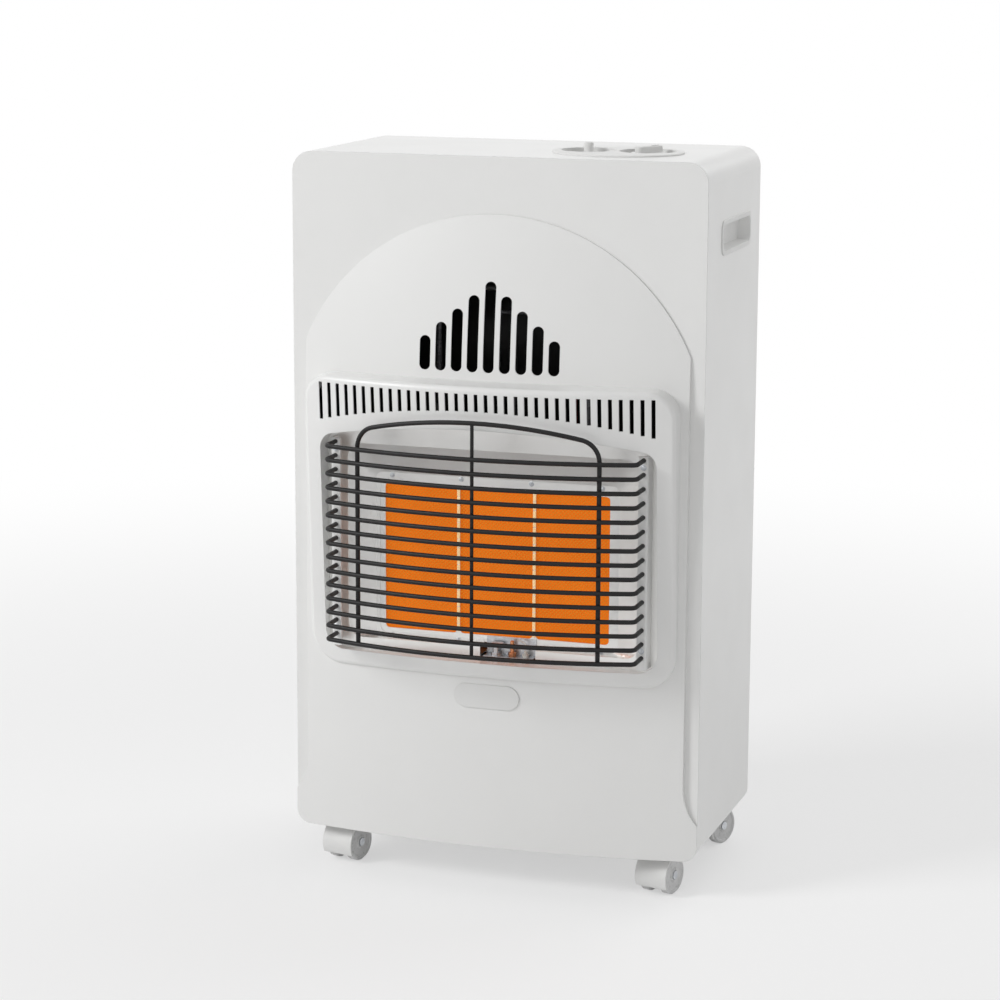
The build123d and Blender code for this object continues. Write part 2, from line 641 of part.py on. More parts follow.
def guard_hoop():
    """Outer upright wires joined by a crowned arch that follows the bow behind the cross wires."""
    bow_r = GUARD_R - 2 * WIRE_R + WELD
    centre_y = GUARD_FRONT_Y + WIRE_R + GUARD_R
    shoulder_y = centre_y - sqrt(bow_r**2 - HOOP_X**2)
    arch = ThreePointArc(
        (-HOOP_X, shoulder_y, HOOP_SHOULDER_Z), (0, centre_y - bow_r, HOOP_TOP_Z),
        (HOOP_X, shoulder_y, HOOP_SHOULDER_Z)
    )
    falling = arch % 1
    dip = asin(-falling.Z)
    along_x, along_y = falling.X / cos(dip), falling.Y / cos(dip)

    def corner(side, angle):
        out = HOOP_R * (sin(angle) - sin(dip))
        down = HOOP_R * (cos(dip) - cos(angle))
        return (side * (HOOP_X + out * along_x), shoulder_y + out * along_y, HOOP_SHOULDER_Z - down)

    upright_angle = radians(90)
    half_angle = (upright_angle + dip) / 2
    left, right = corner(-1, upright_angle), corner(1, upright_angle)
    left_foot = (left[0], left[1], HOOP_LOW_Z)
    right_foot = (right[0], right[1], HOOP_LOW_Z)
    path = Wire([
        Line(left_foot, left),
        ThreePointArc(left, corner(-1, half_angle), arch @ 0),
        arch,
        ThreePointArc(arch @ 1, corner(1, half_angle), right),
        Line(right, right_foot),
    ])
    start = Plane(origin=left_foot, z_dir=(0, 0, 1))
    return sweep(start * Circle(WIRE_R), path=path)


def guard_grille():
    """Welded wire guard: fifteen bowed wires, the hoop and a thinner middle upright."""
    wires = [guard_wire(WIRE_LOW_Z + WIRE_PITCH * index) for index in range(WIRE_COUNT)]
    middle_y = GUARD_FRONT_Y + 2 * WIRE_R + MID_WIRE_R - WELD
    middle = upright(0, middle_y, HOOP_LOW_Z, HOOP_TOP_Z - WIRE_R / 2, MID_WIRE_R)
    return guard_hoop().fuse(middle, *wires)


def guard_rails():
    """Two angles that stand on the reflector's rim and carry the wire ends."""
    inner, outer = GUARD_HALF - RAIL_W / 2, GUARD_HALF + RAIL_W / 2
    front, back = RAIL_FRONT_Y, MOUTH_BACK_Y
    rails = []
    for side in (-1, 1):
        corners = [
            (inner, front), (outer, front), (outer, back), (outer - RAIL_T, back),
            (outer - RAIL_T, front + RAIL_T), (inner, front + RAIL_T),
        ]
        profile = make_face(Polyline(*[(side * x, y) for x, y in corners], close=True))
        bend = profile.vertices().filter_by(lambda v: abs(v.X) > outer - 0.1 and v.Y < front + 0.1)
        rails.append(raised(fillet(bend, RAIL_BEND_R), *RAIL_Z))
    return rails


# ---------------------------------------------------------------- firebox and burner
def funnel(front, back, y0, y1):
    """Loft between two rounded rectangles given as half width, low, high, corner radius."""
    outlines = []
    for (half, low, high, corner), y in ((front, y0), (back, y1)):
        outlines.append(Plane.XZ.offset(-y) * round_rect(half, low, high, corner, corner))
    return loft(outlines)


def grown(outline, grow):
    """The same rounded rectangle, larger by grow all round."""
    half, low, high, corner = outline
    return half + grow, low - grow, high + grow, corner + grow


def tray_profile(outline):
    half, low, high, corner = outline
    return round_rect(half, low, high, corner, corner)


def reflector():
    """Bright tray round the plaques: front rim, sloping walls, narrow back lip, pilot notch."""
    rim_y, lip_y = MOUTH_BACK_Y + TRAY_RIM_T, BURNER_Y - TRAY_T
    rim = mouth_outline(TRAY_LAP) - tray_profile(TRAY_FRONT)
    tray = pushed_back(rim, MOUTH_BACK_Y, rim_y)
    tray += funnel(grown(TRAY_FRONT, TRAY_T), TRAY_BACK, rim_y, lip_y)
    tray -= funnel(TRAY_FRONT, grown(TRAY_BACK, -TRAY_T), rim_y, lip_y)
    tray += pushed_back(tray_profile(TRAY_BACK) - tray_profile(TRAY_HOLE), lip_y, BURNER_Y)
    return tray - pilot_notch(MOUTH_LOW_Z, TRAY_HOLE[1] + 0.5)


def pilot_notch(low, high):
    """Room for the pilot, from the firebox mouth back to the burner frame."""
    x = (PILOT_PLATE[0] - PILOT_NOTCH_SIDE, PILOT_PLATE[1] + PILOT_NOTCH_SIDE)
    return block(x, (MOUTH_BACK_Y - CUT, BURNER_Y + CUT), (low, high))


def window_centres():
    """Middle of each of the three plaque windows."""
    return [step * (window_width() + BAR_W) for step in (-1, 0, 1)]


def window_width():
    return (2 * WINDOW_HALF - 2 * BAR_W) / 3


def burner_frame():
    """Pressed frame with three windows, screwed to the reflector's back lip."""
    low, high = BURNER_Z
    plate = round_rect(FRAME_HALF, low - FRAME_LAP[0], high + FRAME_LAP[1], 6, 6)
    for x in window_centres():
        plate -= Pos(x, (low + high) / 2) * RectangleRounded(window_width(), high - low, WINDOW_R)
    return pushed_back(plate, BURNER_Y, BURNER_Y + FRAME_T)


def behind_window(x, y0, y1, inset=0.0):
    """Block as large as a window and its laps, less inset, from y0 to y1."""
    lap = PLAQUE_LAP - inset
    half = window_width() / 2 + lap
    low, high = BURNER_Z
    return block((x - half, x + half), (y0, y1), (low - lap, high + lap))


def plaque(x):
    """Ceramic tile that glows."""
    front = BURNER_Y + FRAME_T
    return behind_window(x, front, front + PLAQUE_T)


def tube_line_y():
    """Y of the mixing tubes and injectors."""
    return BURNER_Y + FRAME_T + PLAQUE_T + GAS_BOX_D / 2


def burner_body(x):
    """Pressed gas box, open to the plaque in front of it, with its mixing tube and flared mouth."""
    front = BURNER_Y + FRAME_T + PLAQUE_T
    gas_box = behind_window(x, front, front + GAS_BOX_D)
    gas_box = fillet(gas_box.edges().group_by(Axis.Y)[-1], GAS_BOX_R)
    hollow = behind_window(x, front - CUT, front + GAS_BOX_D - GAS_BOX_T, GAS_BOX_T)
    gas_box -= fillet(hollow.edges().group_by(Axis.Y)[-1], GAS_BOX_R - GAS_BOX_T)
    top = BURNER_Z[0] + TUBE_INTO_BOX - TUBE_LOW_Z
    bore = TUBE_R - TUBE_T
    wall = Polyline(
        (bore, top), (bore, FLARE_H), (bore + FLARE, 0), (TUBE_R + FLARE, 0),
        (TUBE_R, FLARE_H), (TUBE_R, top), close=True
    )
    mixing = Pos(x, tube_line_y(), TUBE_LOW_Z) * revolve(Plane.XZ * make_face(wall), Axis.Z)
    throat = upright(x, tube_line_y(), BURNER_Z[0] - PLAQUE_LAP - CUT, BURNER_Z[0] + CUT, bore)
    return gas_box - throat + mixing


def heat_shield():
    """Sheet box that closes the firebox behind the burner, with cooling slots in its roof."""
    front, back = MOUTH_BACK_Y + TRAY_RIM_T, SHIELD_BACK_Y
    low, high = SHIELD_Z
    box = block((-SHIELD_HALF, SHIELD_HALF), (front, back), (low, high))
    inner = SHIELD_HALF - TRAY_T
    box -= block((-inner, inner), (front - CUT, back - TRAY_T), (low + TRAY_T, high - TRAY_T))
    for x in window_centres():
        box -= upright(x, tube_line_y(), low - CUT, low + TRAY_T + CUT, TUBE_R + TUBE_HOLE_GAP)
    slot_y = (front + ROOF_SLOT_SET_IN, front + ROOF_SLOT_SET_IN + ROOF_SLOT_W)
    for index in range(ROOF_SLOT_COUNT):
        x = ROOF_SLOT_PITCH * (index - ROOF_SLOT_COUNT // 2)
        slot_x = (x - ROOF_SLOT_L / 2, x + ROOF_SLOT_L / 2)
        box -= block(slot_x, slot_y, (high - TRAY_T - CUT, high + CUT))
    return box - pilot_notch(low - CUT, low + TRAY_T + CUT)


def injector_rail():
    """Bar below the burner that carries the injectors, hung from the heat shield on two legs."""
    y = (tube_line_y() - INJECTOR_RAIL_W / 2, tube_line_y() + INJECTOR_RAIL_W / 2)
    bar = block((-INJECTOR_RAIL_HALF, INJECTOR_RAIL_HALF), y, INJECTOR_RAIL_Z)
    for side in (-1, 1):
        x = sorted((side * INJECTOR_RAIL_HALF, side * (INJECTOR_RAIL_HALF + LEG_T)))
        bar += block(x, y, (INJECTOR_RAIL_Z[0], SHIELD_Z[0]))
    return bar


def injectors():
    """Three brass injectors pointing up into the mixing tubes."""
    low = INJECTOR_RAIL_Z[1]
    top = low + INJECTOR_HEX_H
    made = []
    for x in window_centres():
        hexagon = raised(Pos(x, tube_line_y()) * RegularPolygon(INJECTOR_HEX_R, 6), low, top)
        jet = Pos(x, tube_line_y(), top + JET_H / 2) * Cone(JET_LOW_R, JET_TOP_R, JET_H)
        made.append(hexagon + jet)
    return made


# ---------------------------------------------------------------- pilot
def pilot_bracket():
    """Angle on the burner frame that carries the pilot's three parts."""
    plate = block(PILOT_PLATE, (BURNER_Y - PILOT_SHEET_T, BURNER_Y),
                  (PILOT_SHELF_Z, BURNER_Z[0] - 0.5))
    shelf_top = PILOT_SHELF_Z + PILOT_SHEET_T
    shelf = block(PILOT_PLATE, (BURNER_Y - PILOT_SHELF_D, BURNER_Y), (PILOT_SHELF_Z, shelf_top))
    angle = plate + shelf
    for x, radius in ((PILOT_X, PILOT_R), (THERMOCOUPLE_X, THERMOCOUPLE_R), (SPARK_X, SPARK_R)):
        angle -= upright(x, PILOT_Y, PILOT_SHELF_Z - CUT, shelf_top + CUT, radius + NECK_FIT)
    return angle


def pilot_burner():
    """Pilot jet: stem through the shelf, nut on it, hooded nozzle that faces the thermocouple."""
    shelf_top = PILOT_SHELF_Z + PILOT_SHEET_T
    jet = upright(PILOT_X, PILOT_Y, *PILOT_Z, PILOT_R)
    jet += hex_ring(PILOT_X, PILOT_Y, shelf_top, shelf_top + 3, 5.0, 1.0)
    top = PILOT_Z[1]
    hood = block((PILOT_X - 3.5, PILOT_X + 8), (PILOT_Y - 4, PILOT_Y + 4), (top, top + 3))
    return jet + fillet(hood.edges().filter_by(Axis.Z), 1.5)


def thermocouple():
    """Sensor tip held by a collar on the shelf."""
    shelf_top = PILOT_SHELF_Z + PILOT_SHEET_T
    tip = upright(THERMOCOUPLE_X, PILOT_Y, *THERMOCOUPLE_Z, THERMOCOUPLE_R)
    tip = fillet(tip.edges().group_by(Axis.Z)[-1], 1.5)
    return tip + hex_ring(THERMOCOUPLE_X, PILOT_Y, shelf_top, shelf_top + 4, 4.2, 1.0)


def spark_electrode():
    """Ceramic sleeve with a bent wire tip."""
    shelf_top = PILOT_SHELF_Z + PILOT_SHEET_T
    sleeve = upright(SPARK_X, PILOT_Y, *SPARK_Z, SPARK_R)
    sleeve += upright(SPARK_X, PILOT_Y, shelf_top, shelf_top + 3, 3.4)
    top = SPARK_Z[1]
    bent = [(SPARK_X, PILOT_Y, top - 1), (SPARK_X, PILOT_Y, top + 8), (SPARK_X - 8, PILOT_Y, top + 11)]
    return sleeve + tube(bent, 0.7, 2.5)


# ---------------------------------------------------------------- controls
def control_bezel():
    """Oval moulding let into the top: thin rim and two round wells."""
    centre = Pos(BEZEL_X, BEZEL_Y)
    rim = raised(centre * Ellipse(BEZEL_RX, BEZEL_RY), TOP_Z, TOP_Z + BEZEL_RISE)
    rim = chamfer(rim.edges().group_by(Axis.Z)[-1], BEZEL_BEVEL)
    body = centre * Ellipse(BEZEL_RX - BEZEL_RIM, BEZEL_RY - BEZEL_RIM)
    shape = rim + raised(body, WELL_Z - WELL_FLOOR_T, TOP_Z)
    above, below = TOP_Z + BEZEL_RISE + CUT, WELL_Z - WELL_FLOOR_T - CUT
    for x, y, shift, radius in (
        (KNOB_X, KNOB_Y, KNOB_WELL_SHIFT, KNOB_WELL_R),
        (IGNITER_X, IGNITER_Y, IGNITER_WELL_SHIFT, IGNITER_WELL_R),
    ):
        shape -= upright(x + shift[0], y + shift[1], WELL_Z, above, radius)
    shape -= upright(KNOB_X, KNOB_Y, below, WELL_Z + CUT, SPINDLE_HOLE_R)
    return shape - upright(IGNITER_X, IGNITER_Y, below, WELL_Z + CUT, NECK_R + NECK_FIT)


def igniter_body():
    """Piezo spark generator: collar in the well, threaded neck through it, barrel below."""
    x, y = IGNITER_X, IGNITER_Y
    body = upright(x, y, WELL_Z, WELL_Z + IGNITER_COLLAR_H, IGNITER_COLLAR_R)
    body += upright(x, y, BARREL_Z[1], WELL_Z, NECK_R)
    body += upright(x, y, *BARREL_Z, BARREL_R)
    bore = upright(x, y, BUTTON_BORE_Z, WELL_Z + IGNITER_COLLAR_H + CUT, BUTTON_R + BUTTON_FIT)
    return body - bore


def igniter_nut():
    top = WELL_Z - WELL_FLOOR_T
    return hex_ring(IGNITER_X, IGNITER_Y, top - CONTROL_NUT_H, top, CONTROL_NUT_R, NECK_R)


def igniter_button():
    button = upright(IGNITER_X, IGNITER_Y, BARREL_Z[1], TOTAL_Z, BUTTON_R)
    return fillet(button.edges().group_by(Axis.Z)[-1], BUTTON_EDGE_R)


def valve_bracket():
    """Bridge hung from the cabinet's top; it carries the gas tap and clears the igniter."""
    y, (low_x, high_x) = BRACKET_Y, BRACKET_X
    ceiling, deck_top = TOP_Z - SHELL_T, BRACKET_Z + BRACKET_T
    bridge = block(BRACKET_X, y, (BRACKET_Z, deck_top))
    bridge += block((low_x, low_x + BRACKET_T), y, (BRACKET_Z, ceiling))
    bridge += block((high_x - BRACKET_T, high_x), y, (BRACKET_Z, ceiling))
    bridge += block((low_x - BRACKET_FOOT, low_x), y, (ceiling - BRACKET_T, ceiling))
    bridge += block((high_x, high_x + BRACKET_FOOT), y, (ceiling - BRACKET_T, ceiling))
    bridge -= upright(KNOB_X, KNOB_Y, BRACKET_Z - CUT, deck_top + CUT, NECK_R + NECK_FIT)
    return bridge - upright(IGNITER_X, IGNITER_Y, BRACKET_Z - CUT, deck_top + CUT, BARREL_R)


def outlets():
    """X of the tap's four outlets: left, middle and right burner, then the pilot."""
    return [KNOB_X + OUTLET_PITCH * (index - 1.5) for index in range(4)]


def gas_valve():
    """Gas tap: forged block, threaded neck, inlet at the back, four outlets, thermocouple port."""
    x, y = KNOB_X, KNOB_Y
    body = block((x - VALVE_HALF_X, x + VALVE_HALF_X), (y - VALVE_HALF_Y, y + VALVE_HALF_Y),
                 (VALVE_LOW_Z, BRACKET_Z))
    body = fillet(body.edges().filter_by(Axis.Z), VALVE_EDGE_R)
    body += upright(x, y, BRACKET_Z, BRACKET_Z + VALVE_NECK_H, NECK_R)
    inlet = Rot(90, 0, 0) * Cylinder(INLET_R, 2 * BOSS_L)
    port = Rot(0, 90, 0) * Cylinder(PORT_R, 2 * BOSS_L)
    body += Pos(x, y + VALVE_HALF_Y, PORT_Z) * inlet + Pos(x + VALVE_HALF_X, y, PORT_Z) * port
    for outlet_x in outlets():
        body += upright(outlet_x, OUTLET_Y, OUTLET_LOW_Z, VALVE_LOW_Z, OUTLET_R)
    bore_low = PLUNGER_Z[0] - PUSH - PLUNGER_ROOM
    return body - upright(x, y, bore_low, BRACKET_Z + VALVE_NECK_H + CUT, SPINDLE_R + SPINDLE_FIT)


def valve_nut():
    low = BRACKET_Z + BRACKET_T
    return hex_ring(KNOB_X, KNOB_Y, low, low + CONTROL_NUT_H, CONTROL_NUT_R, NECK_R)


def valve_plunger():
    """Slug at the bottom of the tap's bore that the spindle pushes down."""
    return upright(KNOB_X, KNOB_Y, *PLUNGER_Z, SPINDLE_R)


def valve_spindle():
    """Turning stem of the tap, flattened where the knob grips it."""
    stem = upright(KNOB_X, KNOB_Y, PLUNGER_Z[1], KNOB_Z[1], SPINDLE_R)
    return stem - beyond_flat(KNOB_Z[0] - FLAT_BELOW_KNOB)


def beyond_flat(low_z):
    """What the spindle lacks beyond its flat, from low_z up."""
    x = (KNOB_X - 2 * SPINDLE_R, KNOB_X + 2 * SPINDLE_R)
    return block(x, (KNOB_Y + SPINDLE_FLAT, KNOB_Y + 2 * SPINDLE_R), (low_z, KNOB_Z[1] + CUT))


def control_knob():
    """Knob: disc, raised finger bar and a D-shaped socket underneath."""
    x, y = KNOB_X, KNOB_Y
    disc = upright(x, y, *KNOB_Z, KNOB_R)
    disc = chamfer(disc.edges().group_by(Axis.Z)[-1], KNOB_BEVEL)
    bar = Rot(0, 0, KNOB_TURN) * SlotOverall(KNOB_BAR_L, KNOB_BAR_W)
    bar = raised(bar, KNOB_Z[1] - KNOB_BEVEL, KNOB_BAR_TOP_Z)
    bar = Pos(x, y) * fillet(bar.edges().group_by(Axis.Z)[-1], KNOB_BAR_EDGE_R)
    socket = upright(x, y, KNOB_Z[0] - CUT, KNOB_Z[1], SPINDLE_R)
    return disc + bar - (socket - beyond_flat(KNOB_Z[0] - 2 * CUT))


def inlet_hose_tail():
    """Brass hose tail on the back of the tap, inside the bottle bay."""
    collar_r, collar_l, bore = 6.5, 8.0, 2.2
    end, lead_in = collar_l + HOSE_TAIL_L, 1.5
    outline = Polyline(
        (bore, 0), (collar_r, 0), (collar_r, collar_l), (HOSE_TAIL_R, collar_l),
        (HOSE_TAIL_R, end - lead_in), (HOSE_TAIL_R - 1, end), (bore, end), close=True
    )
    tail = revolve(make_face(outline), Axis.Y)
    return Pos(KNOB_X, KNOB_Y + VALVE_HALF_Y + BOSS_L, PORT_Z) * tail


# ---------------------------------------------------------------- pipes and leads
def leaning_back(x, y):
    """First points of a pipe's route, from the tap's outlet at x back to y."""
    return [(x, OUTLET_Y, OUTLET_LOW_Z), (x, OUTLET_Y, LEAN_Z[0]), (x, y, LEAN_Z[1])]


def burner_pipes():
    """Three pipes from the tap down behind the heat shield to the injector rail."""
    y, feed_z = PIPE_Y, sum(INJECTOR_RAIL_Z) / 2
    pipes = []
    rail_y = tube_line_y() + INJECTOR_RAIL_W / 2
    for index, (start_x, x) in enumerate(zip(outlets(), window_centres())):
        turn_z = TURN_Z - TURN_STEP * index
        route = leaning_back(start_x, y) + [
            (start_x, y, turn_z), (x, y, turn_z), (x, y, feed_z), (x, rail_y, feed_z),
        ]
        pipes.append(tube(route, PIPE_R, PIPE_BEND_R))
    return pipes


def pilot_pipe():
    """Thin pipe from the tap's last outlet to the pilot."""
    start_x, x, y, under_z = outlets()[-1], PILOT_DOWN_X, PILOT_PIPE_Y, PILOT_UNDER_Z
    route = leaning_back(start_x, y) + [
        (start_x, y, PILOT_TURN_Z), (x, y, PILOT_TURN_Z), (x, y, under_z), (x, PILOT_Y, under_z),
        (PILOT_X, PILOT_Y, under_z), (PILOT_X, PILOT_Y, PILOT_Z[0]),
    ]
    return tube(route, PILOT_PIPE_R, THIN_BEND_R)


def thermocouple_lead():
    """Copper lead from the sensor tip to the port on the tap's side."""
    port_x, x, y, under_z = KNOB_X + VALVE_HALF_X + BOSS_L, THERMOCOUPLE_X, TIP_LEAD_Y, TIP_UNDER_Z
    out_x = port_x + TIP_LEAD_OUT
    route = [
        (port_x, KNOB_Y, PORT_Z), (out_x, KNOB_Y, PORT_Z), (out_x, y, TIP_LEAN_Z),
        (out_x, y, under_z), (x, y, under_z), (x, PILOT_Y, under_z), (x, PILOT_Y, THERMOCOUPLE_Z[0]),
    ]
    return tube(route, TIP_LEAD_R, THIN_BEND_R)


def ignition_lead():
    """Insulated lead from the spark generator to the electrode."""
    x, y, under_z = IGNITER_X, SPARK_LEAD_Y, SPARK_UNDER_Z
    route = [
        (x, IGNITER_Y, BARREL_Z[0]), (x, IGNITER_Y, SPARK_LEAN_Z[0]), (x, y, SPARK_LEAN_Z[1]),
        (x, y, under_z), (x, PILOT_Y + SPARK_SLANT, under_z), (SPARK_X, PILOT_Y, under_z),
        (SPARK_X, PILOT_Y, SPARK_Z[0]),
    ]
    return tube(route, SPARK_LEAD_R, THIN_BEND_R)


# ---------------------------------------------------------------- castors
def castor_place(name):
    """Location of a castor's swivel axis on the floor, with the fork at its resting angle."""
    x, y, angle = CASTORS[name]
    return Pos(x, y, 0) * Rot(0, 0, angle)


def castor_fork(name):
    """Middle web and hood of a twin-wheel castor, turning on its pin."""
    above = Pos(0, HOOD_LOW_Z + FAR / 2) * Rectangle(FAR, FAR)
    behind = Pos(HOOD_BACK + FAR / 2, 0) * Rectangle(FAR, FAR)
    web = Pos(TRAIL, WHEEL_R) * Circle(WEB_R)
    web += Pos(0, sum(WEB_NECK_Z) / 2) * Rectangle(WEB_NECK_L, WEB_NECK_Z[1] - WEB_NECK_Z[0])
    ring = Pos(TRAIL, WHEEL_R) * (Circle(HOOD_R) - Circle(HOOD_R - HOOD_T))
    hood_half = WEB_HALF + WHEEL_W + HOOD_SIDE
    fork = across(web & above, -WEB_HALF, WEB_HALF)
    fork += across((ring & above) - behind, -hood_half, hood_half)
    fork += upright(0, 0, WEB_NECK_Z[0], COLLAR_Z - FORK_TOP_GAP, WEB_HALF)
    fork -= upright(0, 0, PIN_HOLE_Z, COLLAR_Z, PIN_R + PIN_FIT)
    fork -= Pos(0, TRAIL, WHEEL_R) * Rot(0, 90, 0) * Cylinder(AXLE_R + AXLE_FIT, 2 * WHEEL_R)
    return castor_place(name) * fork


def castor_axle(name):
    """Axle with a flat head at each end."""
    half = WEB_HALF + WHEEL_W + 0.3
    axle = Cylinder(AXLE_R, 2 * half)
    for side in (-1, 1):
        axle += Pos(0, 0, side * (half - AXLE_HEAD_T / 2)) * Cylinder(AXLE_HEAD_R, AXLE_HEAD_T)
    return castor_place(name) * Pos(0, TRAIL, WHEEL_R) * Rot(0, 90, 0) * axle


def castor_wheel(name, side):
    """One wheel: rounded tread, dished outer face, recess for the axle's head."""
    bore, recess = AXLE_R + WHEEL_FIT, AXLE_HEAD_R + 0.6
    outer = WHEEL_W
    section = Polyline(
        (bore, WHEEL_GAP), (WHEEL_R - 1.4, WHEEL_GAP), (WHEEL_R, WHEEL_GAP + 1.4),
        (WHEEL_R, outer - 1.8), (WHEEL_R - 1.8, outer), (WHEEL_R - 3.2, outer),
        (WHEEL_R - 4.4, outer - 1.4), (7.2, outer - 1.4), (6.4, outer - 0.4),
        (recess, outer - 0.4), (recess, outer - 1.0), (bore, outer - 1.0), close=True
    )
    wheel = revolve(Plane.XZ * make_face(section), Axis.Z)
    turned = Pos(side * WEB_HALF, TRAIL, WHEEL_R) * Rot(0, 90 * side, 0) * wheel
    return castor_place(name) * turned


def castor_stems():
    """Four stems, each with a collar under the pan."""
    return [
        upright(x, y, *STEM_Z, PIN_R) + upright(x, y, COLLAR_Z, PANEL_LOW_Z + SHELL_T, COLLAR_R)
        for x, y, _ in CASTORS.values()
    ]


def castor_nuts():
    """Four nuts on top of the pan."""
    floor = PANEL_LOW_Z + SHELL_T + PAN_T
    return [hex_ring(x, y, floor, floor + NUT_H, NUT_R, PIN_R) for x, y, _ in CASTORS.values()]


# ---------------------------------------------------------------- all pieces
def pieces():
    """Every node's name with its solid or solids."""
    made = {
        "front_panel": front_panel(),
        "cabinet_shell": cabinet_shell(),
        "base_pan": base_pan(),
        "rear_cover": rear_cover(),
        "handle_cup_left": handle_cup(-1),
        "handle_cup_right": handle_cup(1),
        "badge_plate": badge_plate(),
        "fire_surround": fire_surround(),
        "guard_grille": guard_grille(),
        "guard_rails": guard_rails(),
        "reflector": reflector(),
        "burner_frame": burner_frame(),
        "heat_shield": heat_shield(),
        "injector_rail": injector_rail(),
        "injectors": injectors(),
        "pilot_bracket": pilot_bracket(),
        "pilot_burner": pilot_burner(),
        "thermocouple": thermocouple(),
        "spark_electrode": spark_electrode(),
        "control_bezel": control_bezel(),
        "igniter_body": igniter_body(),
        "igniter_nut": igniter_nut(),
        "igniter_button": igniter_button(),
        "valve_bracket": valve_bracket(),
        "gas_valve": gas_valve(),
        "valve_nut": valve_nut(),
        "valve_plunger": valve_plunger(),
        "valve_spindle": valve_spindle(),
        "control_knob": control_knob(),
        "inlet_hose_tail": inlet_hose_tail(),
        "burner_pipes": burner_pipes(),
        "pilot_pipe": pilot_pipe(),
        "thermocouple_lead": thermocouple_lead(),
        "ignition_lead": ignition_lead(),
        "castor_stems": castor_stems(),
        "castor_nuts": castor_nuts(),
    }
    for label, x in zip(("left", "middle", "right"), window_centres()):
        made[f"plaque_{label}"] = plaque(x)
        made[f"burner_body_{label}"] = burner_body(x)
    for name in CASTORS:
        made[f"castor_fork_{name}"] = castor_fork(name)
        made[f"castor_axle_{name}"] = castor_axle(name)
        made[f"castor_wheel_inner_{name}"] = castor_wheel(name, -1)
        made[f"castor_wheel_outer_{name}"] = castor_wheel(name, 1)
    return made


os.makedirs("parts", exist_ok=True)
for node, shape in pieces().items():
    solid = Compound(children=shape) if isinstance(shape, list) else shape
    export_step(solid, f"parts/{node}.step")
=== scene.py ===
# %% [markdown]
# # A portable gas cabinet heater
# The real heater is a white sheet-steel cabinet on four castors. Its bowed front holds a fire surround,
# a black wire guard and three glowing ceramic plaques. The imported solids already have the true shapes,
# so this lesson loads them as a fixed frame and spends its time on light, finishes and small fittings.

# %% Load the frame
import json
from math import cos, radians, sin

import bmesh
import bpy
from mathutils import Matrix, Vector


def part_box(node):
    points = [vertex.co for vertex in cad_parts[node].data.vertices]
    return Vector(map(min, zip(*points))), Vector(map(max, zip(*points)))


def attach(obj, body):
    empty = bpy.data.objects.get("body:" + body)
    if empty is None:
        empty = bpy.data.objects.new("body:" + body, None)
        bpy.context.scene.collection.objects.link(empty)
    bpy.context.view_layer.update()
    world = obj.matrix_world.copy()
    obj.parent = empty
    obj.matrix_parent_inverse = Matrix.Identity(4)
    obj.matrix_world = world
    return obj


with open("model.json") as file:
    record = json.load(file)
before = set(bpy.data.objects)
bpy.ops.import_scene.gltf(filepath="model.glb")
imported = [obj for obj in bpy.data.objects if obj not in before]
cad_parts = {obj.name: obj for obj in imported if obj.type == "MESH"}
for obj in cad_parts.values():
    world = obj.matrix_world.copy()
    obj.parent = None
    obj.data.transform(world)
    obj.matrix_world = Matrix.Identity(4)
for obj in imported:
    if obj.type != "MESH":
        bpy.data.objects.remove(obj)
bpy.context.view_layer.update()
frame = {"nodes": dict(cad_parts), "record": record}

nodes = frame["nodes"]


# %% [markdown]
# ## The camera
# The drawing is a perspective view from the right and a little above. Its edges give the camera's place,
# its turn and its focal length by least squares, so the camera is set from those numbers. The look
# direction and its two side directions make the rotation, and a small roll is added about the first.

# %% Camera
CAMERA_PLACE = Vector((0.877244, -2.750953, 0.953431))
YAW, PITCH, ROLL = 0.3148197, 0.1979689, 0.0040438
FOCAL_SHARE = 2.947754          # focal length as a share of the image's width
SENSOR_MM = 36.0
FARTHEST = 200.0                # metres, past the far edge of the floor


def looking(yaw, pitch, roll):
    """Rotation of a camera that looks along yaw and pitch, as a matrix."""
    ahead = Vector((-sin(yaw) * cos(pitch), cos(yaw) * cos(pitch), -sin(pitch)))
    right = Vector((cos(yaw), sin(yaw), 0))
    up = right.cross(ahead)
    side = right * cos(roll) + up * sin(roll)
    top = up * cos(roll) - right * sin(roll)
    return Matrix((side, top, -ahead)).transposed()


camera_data = bpy.data.cameras.new("camera")
camera_data.sensor_width = SENSOR_MM
camera_data.lens = FOCAL_SHARE * SENSOR_MM
camera_data.clip_end = FARTHEST
camera = bpy.data.objects.new("camera", camera_data)
camera.matrix_world = Matrix.Translation(CAMERA_PLACE) @ looking(YAW, PITCH, ROLL).to_4x4()
bpy.context.scene.collection.objects.link(camera)
bpy.context.scene.camera = camera
print("lens", round(camera_data.lens, 2), "mm")

# %% [markdown]
# ## Shader maths as expressions
# A finish is a small network of nodes. Written node by node it is long and hard to read, so one class
# wraps a socket and lets Python's operators add the Math nodes, and one method adds any other node.
# The patterns that finishes share, such as noise, a mask or a bump, are methods too.

# %% Sockets that can be reckoned with
class Wire:
    """An output socket: arithmetic on it adds Math nodes to its finish."""

    def __init__(self, finish, socket):
        self.finish = finish
        self.socket = socket

    def reckon(self, operation, *values):
        return self.finish.node("Math", {"operation": operation}, dict(enumerate(values)))

    def __add__(self, other):
        return self.reckon("ADD", self, other)

    def __sub__(self, other):
        return self.reckon("SUBTRACT", self, other)

    def __rsub__(self, other):
        return self.reckon("SUBTRACT", other, self)

    def __mul__(self, other):
        return self.reckon("MULTIPLY", self, other)

    def __lt__(self, other):
        return self.reckon("LESS_THAN", self, other)

    def __gt__(self, other):
        return self.reckon("GREATER_THAN", self, other)

    __radd__ = __add__
    __rmul__ = __mul__


